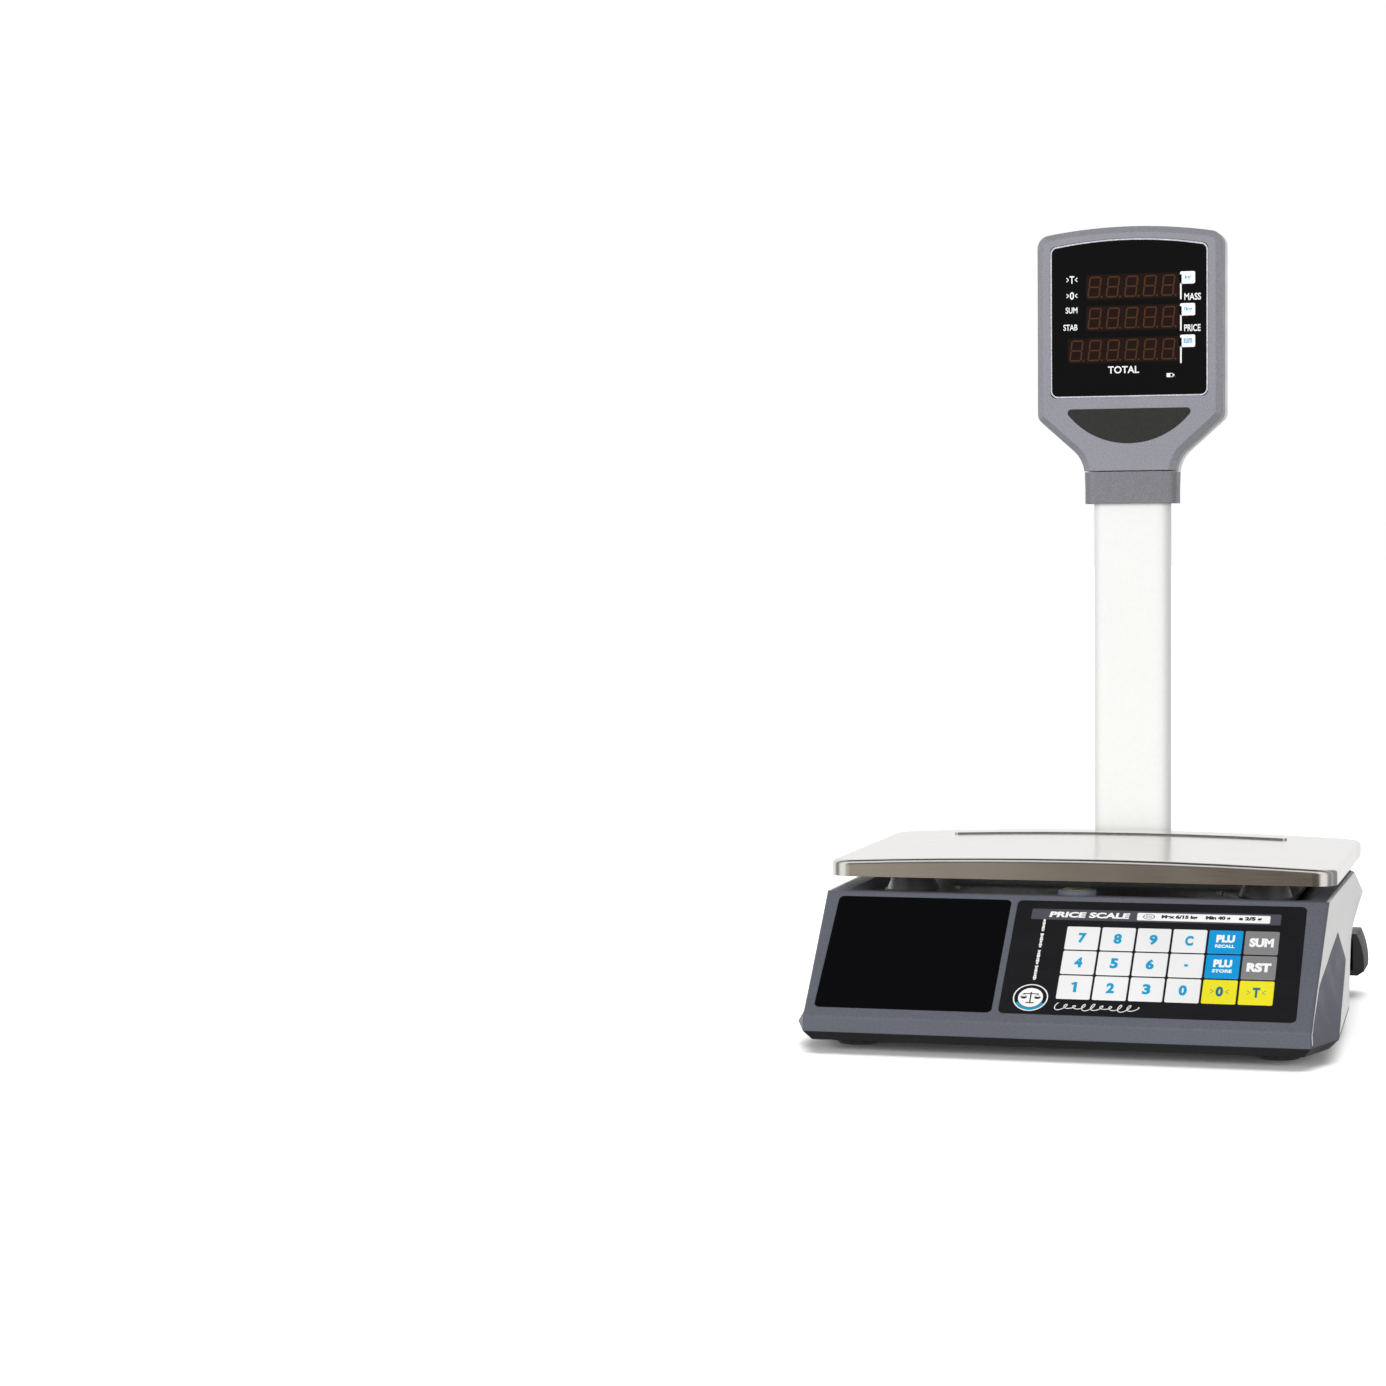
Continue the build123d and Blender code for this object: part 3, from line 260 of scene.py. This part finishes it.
MATERIALS = {
    "slate_casing": moulded("slate_casing", SLATE, 0.46, speckle=0.10, grain=1000.0, edge=0.0008, shine=0.25),
    "slate_head": moulded("slate_head", SLATE_HEAD, 0.42, **HEAD_GRAIN),
    "slate_collar": moulded("slate_collar", SLATE_COLLAR, 0.42, **HEAD_GRAIN),
    "light_plastic": moulded(
        "light_plastic", (0.80, 0.80, 0.79), 0.38, speckle=0.015, edge=0.0007, clouds=0.02
    ),
    "black_plastic": moulded(
        "black_plastic", (0.020, 0.020, 0.022), 0.5, speckle=0.25, edge=0.0006, clouds=0.3
    ),
    "rubber": moulded("rubber", (0.028, 0.028, 0.030), 0.75, speckle=0.3, grain=1300.0, depth=0.00006),
    "cable_black": moulded("cable_black", (0.022, 0.022, 0.023), 0.5, speckle=0.2, grain=1600.0),
    "battery_case": moulded("battery_case", (0.07, 0.07, 0.08), 0.5, speckle=0.2),
    "pole_paint": moulded(
        "pole_paint", (0.79, 0.79, 0.775), 0.4, speckle=0.01, grain=420.0, depth=0.00002, clouds=0.02
    ),
    "pan_steel": metal(
        "pan_steel", (0.74, 0.72, 0.69), 0.17, BRUSH_X, scale=1500.0, spread=0.10, edge=0.0004
    ),
    "cast_aluminium": metal(
        "cast_aluminium", (0.60, 0.61, 0.62), 0.42, scale=450.0, spread=0.16, depth=0.00004
    ),
    "zinc_steel": metal("zinc_steel", (0.55, 0.55, 0.52), 0.34, scale=500.0, spread=0.12),
    "steel_insert": metal("steel_insert", (0.60, 0.59, 0.57), 0.28, scale=600.0),
    "brass_plating": metal("brass_plating", (0.70, 0.56, 0.30), 0.3, (1.0, 1.0, 0.05), scale=900.0),
    "smoked_window": glossy_film("smoked_window", (0.0018, 0.0018, 0.0022), 0.05, dust=0.003),
    "overlay_film": glossy_film("overlay_film", (0.0085, 0.0085, 0.0105), 0.3, dust=0.006),
    "key_white": glossy_film("key_white", (0.80, 0.805, 0.80), 0.32),
    "key_blue": glossy_film("key_blue", CYAN, 0.32),
    "key_grey": glossy_film("key_grey", (0.215, 0.215, 0.220), 0.32),
    "key_yellow": glossy_film("key_yellow", (0.80, 0.72, 0.020), 0.32),
    "accent_film": woven_film("accent_film", (0.026, 0.026, 0.0235)),
    "board_green": circuit("board_green", (0.02, 0.13, 0.06)),
    "vial_clear": clear_vial("vial_clear", (0.20, 0.24, 0.10)),
    "ink_white": glossy_film("ink_white", (0.88, 0.88, 0.87), 0.34),
    "ink_cyan": glossy_film("ink_cyan", (0.010, 0.310, 0.560), 0.34),
    "ink_black": glossy_film("ink_black", (0.010, 0.010, 0.012), 0.36, dust=0.004),
    "ink_grey": glossy_film("ink_grey", (0.072, 0.072, 0.090), 0.34, dust=0.01),
    "ink_dark_cyan": glossy_film("ink_dark_cyan", (0.020, 0.160, 0.240), 0.34, dust=0.01),
    # painted highlight: light grey ink for the ring round the head's window, standing in for light caught on
    # its edge
    "window_edge": moulded("window_edge", (0.56, 0.56, 0.62), 0.35, speckle=0.2, grain=700.0, edge=0.0002),
    "segment_off": glossy_film("segment_off", (0.072, 0.026, 0.009), 0.16, coat=0.2, dust=0.004),
    "segment_halo": glossy_film("segment_halo", (0.0120, 0.0042, 0.0028), 0.07, coat=0.2, dust=0.003),
}
NODE_FINISH = {
    "upper_casing": "slate_casing",
    "level_cup": "slate_casing",
    "head_front": "slate_head",
    "pole_collar": "slate_collar",
}


def dress_nodes():
    """Give every CAD node its material: its own finish if it has one, or its slot's."""
    for subpart in frame["record"]["subparts"]:
        node = frame["nodes"][subpart["node"]]
        finish = NODE_FINISH.get(subpart["node"], subpart["material_slot"])
        node.data.materials.clear()
        node.data.materials.append(MATERIALS[finish])


# --- Printing ---------------------------------------------------------------------------------------
def surface_frame(origin, across, up):
    """Matrix from a surface's own millimetres (across, up, outwards) to the row frame in metres."""
    x, y = Vector(across), Vector(up)
    turn = Matrix((x, y, x.cross(y))).transposed().to_4x4()
    return Matrix.Translation(Vector(origin) * MM) @ turn @ Matrix.Scale(MM, 4)


PANEL = surface_frame(PANEL_FOOT, (1, 0, 0), (0, cos(PANEL_SLOPE), sin(PANEL_SLOPE)))
HEAD = surface_frame((0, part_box("head_window")[0].y / MM, DATUM_Z), (1, 0, 0), (0, 0, 1))
inks = {}


def ink(body, finish):
    """The mesh that gathers everything printed in one finish on one body."""
    if (body, finish) not in inks:
        inks[body, finish] = bmesh.new()
    return inks[body, finish]


def add_band(mesh, place, inner, outer, base, closed=True, thick=INK):
    """A thin ribbon between two lines of the same number of points."""
    rings = []
    for line, w in ((inner, base), (outer, base), (outer, base + thick), (inner, base + thick)):
        rings.append([mesh.verts.new(place @ Vector((x, y, w))) for x, y in line])
    count = len(inner)
    for i in range(count if closed else count - 1):
        j = (i + 1) % count
        for a, b in zip(rings, rings[1:] + rings[:1]):
            mesh.faces.new((a[i], b[i], b[j], a[j]))
    if not closed:
        mesh.faces.new([ring[0] for ring in reversed(rings)])
        mesh.faces.new([ring[-1] for ring in rings])


def add_plate(mesh, place, points, base, thick=INK):
    """A thin plate with a convex outline."""
    low = [mesh.verts.new(place @ Vector((x, y, base))) for x, y in points]
    high = [mesh.verts.new(place @ Vector((x, y, base + thick))) for x, y in points]
    mesh.faces.new(list(reversed(low)))
    mesh.faces.new(high)
    for i in range(len(points)):
        j = (i + 1) % len(points)
        mesh.faces.new((low[i], low[j], high[j], high[i]))


def rounded_box(x, y, radius, steps=6):
    """Outline of a rectangle with rounded corners, anticlockwise."""
    points = []
    corners = ((x[1], y[1], 0), (x[0], y[1], 1), (x[0], y[0], 2), (x[1], y[0], 3))
    for cx, cy, quarter in corners:
        sx = -1 if cx == x[1] else 1
        sy = -1 if cy == y[1] else 1
        for i in range(steps + 1):
            angle = (quarter + i / steps) * pi / 2
            points.append((cx + sx * radius + radius * cos(angle), cy + sy * radius + radius * sin(angle)))
    return points


def circle(cx, cy, radius, steps=48, start=0.0, end=2 * pi, squeeze=1.0):
    span = end - start
    count = steps if abs(span - 2 * pi) < 1e-6 else steps + 1
    angles = [start + span * i / steps for i in range(count)]
    return [(cx + radius * cos(a), cy + radius * squeeze * sin(a)) for a in angles]


def bar(x, y):
    return [(x[0], y[0]), (x[1], y[0]), (x[1], y[1]), (x[0], y[1])]


def stroke(mesh, place, line, width, base):
    """A pen stroke of even width along a line of points."""
    left, right = [], []
    for i, (x, y) in enumerate(line):
        ax, ay = line[max(i - 1, 0)]
        bx, by = line[min(i + 1, len(line) - 1)]
        normal = Vector((by - ay, ax - bx)).normalized() * width / 2
        left.append((x - normal.x, y - normal.y))
        right.append((x + normal.x, y + normal.y))
    add_band(mesh, place, left, right, base, closed=False)


def letter(mesh, place, text, centre, size, base, bold=0.035, slant=0.0):
    """Lettering that fills a box of the given width and height."""
    curve = bpy.data.curves.new("lettering", "FONT")
    curve.body = text
    curve.offset = bold
    curve.shear = slant
    curve.extrude = 0.5
    curve.resolution_u = 4
    carrier = bpy.data.objects.new("lettering", curve)
    flat = bpy.data.meshes.new_from_object(carrier)
    bpy.data.objects.remove(carrier)
    bpy.data.curves.remove(curve)
    low = Vector([min(v.co[k] for v in flat.vertices) for k in range(3)])
    high = Vector([max(v.co[k] for v in flat.vertices) for k in range(3)])
    span = high - low
    fit = Matrix.Diagonal((size[0] / span.x, size[1] / span.y, INK / span.z, 1.0))
    put = Matrix.Translation((centre[0], centre[1], base + INK / 2))
    flat.transform(place @ put @ fit @ Matrix.Translation(-(low + high) / 2))
    mesh.from_mesh(flat)
    bpy.data.meshes.remove(flat)


KEY_DIGITS = (
    ("key_7", "7", 0, 0),
    ("key_8", "8", 1, 0),
    ("key_9", "9", 2, 0),
    ("key_clear", "C", 3, 0),
    ("key_4", "4", 0, 1),
    ("key_5", "5", 1, 1),
    ("key_6", "6", 2, 1),
    ("key_1", "1", 0, 2),
    ("key_2", "2", 1, 2),
    ("key_3", "3", 2, 2),
    ("key_0", "0", 3, 2),
)


def key_centre(column, row):
    return KEY_FIRST[0] + column * KEY_PITCH[0], KEY_FIRST[1] - row * KEY_PITCH[1]


def print_keys():
    """Legends on the key caps. Each rides on its own key."""
    for node, text, column, row in KEY_DIGITS:
        u, v = key_centre(column, row)
        cyan = ink(node + "_button", "ink_cyan")
        if text != "1":
            letter(cyan, PANEL, text, (u, v), (4.9, 8.2), KEY_W, 0.05)
            continue
        add_plate(cyan, PANEL, bar((u - 0.5, u + 1.4), (v - 4.1, v + 4.1)), KEY_W)
        stroke(cyan, PANEL, ((u - 1.9, v + 2.2), (u - 0.5, v + 3.1)), 1.5, KEY_W)
    u, v = key_centre(3, 1)
    add_plate(ink("key_point_button", "ink_cyan"), PANEL, bar((u - 1.1, u + 1.1), (v - 0.9, v + 0.9)), KEY_W)
    for node, second, row in (("key_lookup", "RECALL", 0), ("key_store", "STORE", 1)):
        u, v = key_centre(4, row)
        white = ink(node + "_button", "ink_white")
        letter(white, PANEL, "PLU", (u, v + 2.4), (11.2, 6.2), KEY_W, 0.06)
        letter(white, PANEL, second, (u, v - 3.6), (11.8, 2.6), KEY_W, 0.045)
    for node, text, row in (("key_sum", "SUM", 0), ("key_reset", "RST", 1)):
        u, v = key_centre(5, row)
        letter(ink(node + "_button", "ink_white"), PANEL, text, (u, v), (14.6, 7.2), KEY_W, 0.06)
    for node, text, column in (("key_zero", "0", 4), ("key_tare", "T", 5)):
        u, v = key_centre(column, 2)
        cyan = ink(node + "_button", "ink_dark_cyan")
        letter(cyan, PANEL, text, (u, v), (4.4, 8.0), KEY_W, 0.05)
        for side in (-1, 1):
            tip = u + side * 3.6
            line = [(tip + side * 2.0, v + 1.6), (tip, v), (tip + side * 2.0, v - 1.6)]
            stroke(cyan, PANEL, line, 0.4, KEY_W)


def print_band():
    """Grey title band above the keys, with the white data plate set in it."""
    grey, white, black = (ink("chassis", f) for f in ("ink_grey", "ink_white", "ink_black"))
    add_plate(grey, PANEL, rounded_box((-23.5, 129.5), (96.8, 105.6), 0.8), OVERLAY_W)
    top = OVERLAY_W + INK
    letter(white, PANEL, "PRICE SCALE", (12.6, 101.2), (50.0, 4.7), top, 0.045, 0.1)
    add_plate(white, PANEL, rounded_box((42.0, 123.0), (98.0, 104.2), 1.0), top)
    legends = (("Max 6/15 kg", 68.0, 22.0), ("Min 40 g", 91.5, 15.0), ("e 2/5 g", 111.0, 14.0))
    for text, u, width in legends:
        letter(black, PANEL, text, (u, 101.1), (width, 3.7), top + INK, 0.06)
    ring = circle(49.3, 101.1, 3.6, squeeze=0.6)
    hole = circle(49.3, 101.1, 3.1, squeeze=0.6)
    add_band(black, PANEL, hole, ring, top + INK)
    for du in (-1.6, -0.8, 0.0, 0.8, 1.6):
        add_plate(black, PANEL, bar((49.3 + du - 0.12, 49.3 + du + 0.12), (100.1, 102.1)), top + INK)


def print_emblem():
    """Round mark at the keypad's corner: a plain beam balance inside rings, with a blue arc."""
    u, v = -15.2, 32.8
    white, black, cyan = (ink("chassis", f) for f in ("ink_white", "ink_black", "ink_cyan"))
    add_band(white, PANEL, circle(u, v, 9.9), circle(u, v, 10.7), OVERLAY_W)
    add_plate(white, PANEL, circle(u, v, 7.6), OVERLAY_W)
    blue = (1.15 * pi, 1.85 * pi)
    inner, outer = (circle(u, v, radius, 24, *blue) for radius in (8.0, 9.6))
    add_band(cyan, PANEL, inner, outer, OVERLAY_W, closed=False)
    top = OVERLAY_W + INK
    add_plate(black, PANEL, bar((u - 0.4, u + 0.4), (v - 4.0, v + 4.2)), top)
    add_plate(black, PANEL, bar((u - 2.6, u + 2.6), (v - 4.6, v - 3.8)), top)
    add_plate(black, PANEL, bar((u - 4.8, u + 4.8), (v + 2.6, v + 3.3)), top)
    for side in (-1, 1):
        pan = circle(u + side * 4.2, v + 0.6, 2.1, 16, pi, 2 * pi, 0.8)
        add_plate(black, PANEL, pan, top)
        for lean in (-1.6, 1.6):
            line = [(u + side * 4.2, v + 2.8), (u + side * 4.2 + lean, v + 0.6)]
            stroke(black, PANEL, line, 0.25, top)


def print_flourishes():
    """A looping pen line under the keys, and small blocks that stand for the upright line of fine print."""
    white = ink("chassis", "ink_white")
    line = []
    loops, steps = 9, 216
    for i in range(steps + 1):
        t = i / steps
        turn = 2 * pi * loops * t
        height = 2.0 + 0.9 * cos(2 * pi * 2.4 * t)
        lift = height * cos(turn)
        line.append((1.0 + 49.0 * t - 1.9 * sin(turn) + 0.5 * lift, 26.4 + lift))
    stroke(white, PANEL, line, 0.55, OVERLAY_W)
    v = 47.0
    for i in range(34):
        length = 0.7 + 0.35 * ((i * 7) % 4)
        if i % 9 != 8:
            half = 0.7 + 0.15 * ((i * 5) % 3)
            add_plate(white, PANEL, bar((-14.8 - half, -14.8 + half), (v, v + length)), OVERLAY_W)
        v += length + 0.25


def segments(x, y, height=14.6, width=8.6, thick=1.05, slant=0.12):
    """Outlines of the seven bars and the point of one digit, centred on x, y."""
    half_w, half_h = (width - thick) / 2, (height - thick) / 2
    tip = thick / 2
    gap = 0.12

    def level(cy):
        a, b = -half_w + gap, half_w - gap
        lower = [(a, cy), (a + tip, cy - tip), (b - tip, cy - tip)]
        return lower + [(b, cy), (b - tip, cy + tip), (a + tip, cy + tip)]

    def upright(cx, low, high):
        a, b = low + gap, high - gap
        right = [(cx, a), (cx + tip, a + tip), (cx + tip, b - tip)]
        return right + [(cx, b), (cx - tip, b - tip), (cx - tip, a + tip)]

    shapes = [level(cy) for cy in (-half_h, 0.0, half_h)]
    for cx in (-half_w, half_w):
        shapes += [upright(cx, -half_h, 0.0), upright(cx, 0.0, half_h)]
    point = width / 2 + 1.4
    shapes.append(bar((point - 0.65, point + 0.65), (-half_h - 0.6, -half_h + 0.7)))
    return [[(x + px + slant * py, y + py) for px, py in shape] for shape in shapes]


HEAD_ROWS = (
    (5, 480.5, 489.6, 470.6, "kg"),
    (5, 459.0, 467.9, 449.2, "/kg"),
    (6, 437.0, 446.4, 427.1, "sum"),
)
HEAD_LEGENDS = (
    ("T", -39.3, 486.0, 3.2, 5.2),
    ("0", -39.3, 475.0, 3.0, 5.2),
    ("SUM", -39.6, 465.0, 8.2, 4.2),
    ("STAB", -40.4, 453.2, 9.8, 4.2),
    ("MASS", 43.9, 472.3, 11.4, 4.8),
    ("PRICE", 43.7, 451.0, 11.2, 4.8),
    ("TOTAL", -3.6, 423.4, 21.5, 5.0),
)


def print_head():
    """Unlit digits behind the head's window, unit flags and the white legends round them."""
    digit, halo = ink("head", "segment_off"), ink("head", "segment_halo")
    white, cyan, black = (ink("head", f) for f in ("ink_white", "ink_cyan", "ink_black"))
    for count, z, flag_top, post_foot, unit in HEAD_ROWS:
        left = 34.0 - count * DIGIT_PITCH
        add_plate(halo, HEAD, rounded_box((left, 34.6), (z - 8.6, z + 8.6), 1.5), 0.0, INK / 2)
        for i in range(count):
            for shape in segments(left + (i + 0.5) * DIGIT_PITCH - 0.4, z):
                add_plate(digit, HEAD, shape, INK / 2)
        add_plate(white, HEAD, bar((35.3, 36.4), (post_foot, flag_top - 2.0)), 0.0)
        add_plate(white, HEAD, rounded_box((35.3, 45.6), (flag_top - 8.5, flag_top), 1.1), 0.0)
        letter(cyan, HEAD, unit, (40.6, flag_top - 4.2), (4.0 if unit == "kg" else 5.8, 3.4), INK, 0.015)
    for text, x, z, width, height in HEAD_LEGENDS:
        letter(white, HEAD, text, (x, z), (width, height), 0.0, 0.02)
        if len(text) > 1:
            continue
        for side in (-1, 1):
            arrow = [(x + side * 3.7, z + 1.3), (x + side * 2.3, z), (x + side * 3.7, z - 1.3)]
            stroke(white, HEAD, arrow, 0.75, 0.0)
    add_plate(white, HEAD, rounded_box((26.0, 30.6), (417.6, 420.4), 0.6), 0.0)
    add_plate(white, HEAD, bar((30.6, 31.4), (418.3, 419.7)), 0.0)
    add_plate(black, HEAD, rounded_box((28.6, 30.2), (418.0, 420.0), 0.3), INK)


def window_outline(inset):
    """Outline of the head's window, with its arched top, pulled in by the given amount."""
    low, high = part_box("head_window")
    half = (high.x - low.x) / MM / 2 - inset
    bottom = low.z / MM - DATUM_Z + inset
    crown = high.z / MM - DATUM_Z - inset
    radius = WINDOW_CORNER - inset
    top = crown - WINDOW_ARCH * ((half - radius) / half) ** 2
    corners = ((half - radius, bottom + radius, -pi / 2), (half - radius, top - radius, 0.0))
    right = []
    for x, z, start in corners:
        for i in range(7):
            turn = start + i * pi / 12
            right.append((x + radius * cos(turn), z + radius * sin(turn)))
    arch = [(half * i / 8, crown - WINDOW_ARCH * (i / 8) ** 2) for i in range(6, 0, -1)]
    right += [point for point in arch if point[0] < half - radius]
    left = [(-x, z) for x, z in reversed(right)]
    return right + [(0.0, crown)] + left


def print_window_edge():
    """A painted highlight: a flat light grey ring printed where the head's window meets its frame, standing
    in for light caught on the rounded shoulder there.
    """
    add_band(ink("head", "window_edge"), HEAD, window_outline(1.0), window_outline(0.05), 0.0)


def finish_prints():
    """Turn each gathered layer into a piece that rides on its body."""
    for (body, finish), mesh in inks.items():
        bmesh.ops.recalc_face_normals(mesh, faces=mesh.faces)
        data = bpy.data.meshes.new(f"{body}_{finish}_print")
        mesh.to_mesh(data)
        mesh.free()
        data.materials.append(MATERIALS[finish])
        piece = bpy.data.objects.new(data.name, data)
        bpy.context.scene.collection.objects.link(piece)
        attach(piece, body)


# --- Studio -----------------------------------------------------------------------------------------
def lay_floor():
    mesh = bmesh.new()
    bmesh.ops.create_grid(mesh, x_segments=8, y_segments=8, size=30.0)
    data = bpy.data.meshes.new("floor")
    mesh.to_mesh(data)
    mesh.free()
    floor = bpy.data.objects.new("floor", data)
    bpy.context.scene.collection.objects.link(floor)
    material, tree, shader = new_surface("floor_paper")
    clouds = ranged(tree, noise(tree, 0.8, 3.0), 0.0, 1.0, 0.3, 0.7)
    paper = blended(tree, clouds, (0.90, 0.90, 0.90), (0.92, 0.92, 0.92))
    tree.links.new(paper, shader.inputs["Base Color"])
    shader.inputs["Roughness"].default_value = 0.9
    shader.inputs["Specular IOR Level"].default_value = 0.1
    data.materials.append(material)
    floor.visible_glossy = False
    floor.visible_diffuse = False
    return floor


def ramp(tree, value, stops):
    """Colour as a value goes from -1 to 1. Each stop is a place and a grey level or a colour."""
    node = tree.nodes.new("ShaderNodeValToRGB")
    tree.links.new(ranged(tree, value, 0.0, 1.0, -1.0, 1.0), node.inputs["Fac"])
    elements = node.color_ramp.elements
    while len(elements) < len(stops):
        elements.new(0.5)
    for element, (place, colour) in zip(elements, stops):
        element.position = (place + 1) / 2
        element.color = (*colour, 1.0) if isinstance(colour, tuple) else (colour, colour, colour, 1.0)
    return node.outputs["Color"]


def light_world():
    """White studio. Mirror-like surfaces see white cards, a dark room in front and a dark ceiling."""
    world = bpy.data.worlds.new("studio")
    bpy.context.scene.world = world
    world.use_nodes = True
    tree = world.node_tree
    background = tree.nodes["Background"]
    coords = tree.nodes.new("ShaderNodeTexCoord")
    axes = tree.nodes.new("ShaderNodeSeparateXYZ")
    tree.links.new(coords.outputs["Generated"], axes.inputs["Vector"])
    cards = (
        (-1.0, 0.0),
        (-0.94, 0.0),
        (-0.80, 1.0),
        (-0.40, 1.0),
        (-0.22, 0.30),
        (0.12, 0.30),
        (0.30, 1.0),
    )
    room = (
        (-0.34, (0.62, 0.57, 0.51)),
        (-0.24, (0.48, 0.43, 0.37)),
        (-0.16, (0.22, 0.18, 0.15)),
        (-0.07, (0.11, 0.085, 0.065)),
    )
    front = ranged(tree, axes.outputs["Y"], 1.0, 0.0, -0.94, -0.80)
    upper = ranged(tree, axes.outputs["Z"], 0.0, 1.0, -0.03, 0.0)
    below = ranged(tree, axes.outputs["Z"], 1.0, 0.0, -0.50, -0.25)
    overhead = ranged(tree, axes.outputs["Z"], 0.0, 1.0, 0.82, 0.94)
    dark_room = blended(tree, upper, ramp(tree, axes.outputs["X"], room), (0.15, 0.145, 0.14))
    mirrored = blended(tree, front, ramp(tree, axes.outputs["Y"], cards), dark_room)
    flag = tree.nodes.new("ShaderNodeMath")
    flag.operation = "MULTIPLY"
    tree.links.new(ranged(tree, axes.outputs["X"], 0.0, 1.0, 0.25, 0.42), flag.inputs[0])
    tree.links.new(ranged(tree, axes.outputs["Y"], 0.0, 1.0, 0.1, 0.4), flag.inputs[1])
    mirrored = blended(tree, flag.outputs[0], mirrored, (0.30, 0.30, 0.32))
    mirrored = blended(tree, overhead, mirrored, (0.05, 0.05, 0.055))
    mirrored = blended(tree, below, mirrored, (0.09, 0.09, 0.09))
    height = ((-0.5, 0.22), (-0.02, 0.40), (0.05, 0.92), (0.30, 0.88), (0.62, 0.40), (0.95, 0.15))
    lit = ramp(tree, axes.outputs["Z"], height)
    side = ramp(tree, axes.outputs["X"], ((-1.0, 1.0), (-0.3, 0.95), (0.3, 0.95), (1.0, 0.74)))
    node = tree.nodes.new("ShaderNodeMix")
    node.data_type = "RGBA"
    node.blend_type = "MULTIPLY"
    node.inputs[0].default_value = 1.0
    tree.links.new(lit, node.inputs[6])
    tree.links.new(side, node.inputs[7])
    rays = tree.nodes.new("ShaderNodeLightPath")
    seen = blended(tree, rays.outputs["Is Glossy Ray"], node.outputs[2], mirrored)
    seen = blended(tree, rays.outputs["Is Camera Ray"], seen, (1.0, 1.0, 1.0))
    tree.links.new(seen, background.inputs["Color"])


def add_softbox(name, place, target, size, power):
    data = bpy.data.lights.new(name, "AREA")
    data.shape = "RECTANGLE"
    data.size, data.size_y = size
    data.energy = power
    light = bpy.data.objects.new(name, data)
    bpy.context.scene.collection.objects.link(light)
    light.location = place
    light.rotation_euler = (Vector(target) - Vector(place)).to_track_quat("-Z", "Y").to_euler()
    light.visible_glossy = False


def light_floor(floor):
    """A broad overhead light for the floor alone, so that it stays white up to the contact shadow."""
    data = bpy.data.lights.new("floor_light", "SUN")
    data.energy = 4.4
    data.angle = 1.3
    light = bpy.data.objects.new("floor_light", data)
    bpy.context.scene.collection.objects.link(light)
    light.rotation_euler = (-0.35, 0.0, 0.0)
    receivers = bpy.data.collections.new("floor_light_receivers")
    receivers.objects.link(floor)
    light.light_linking.receiver_collection = receivers


def light_studio(floor):
    light_world()
    light_floor(floor)
    add_softbox("key_softbox", (-1.5, -2.0, 0.6), (0, 0, 0.25), (1.2, 1.2), 40.0)
    add_softbox("fill_softbox", (1.7, -1.8, 0.5), (0, 0, 0.25), (1.2, 1.2), 36.0)
    bpy.context.scene.view_settings.view_transform = "Standard"


# --- Make everything --------------------------------------------------------------------------------
place_camera()
dress_nodes()
print_keys()
print_band()
print_emblem()
print_flourishes()
print_head()
print_window_edge()
finish_prints()
light_studio(lay_floor())
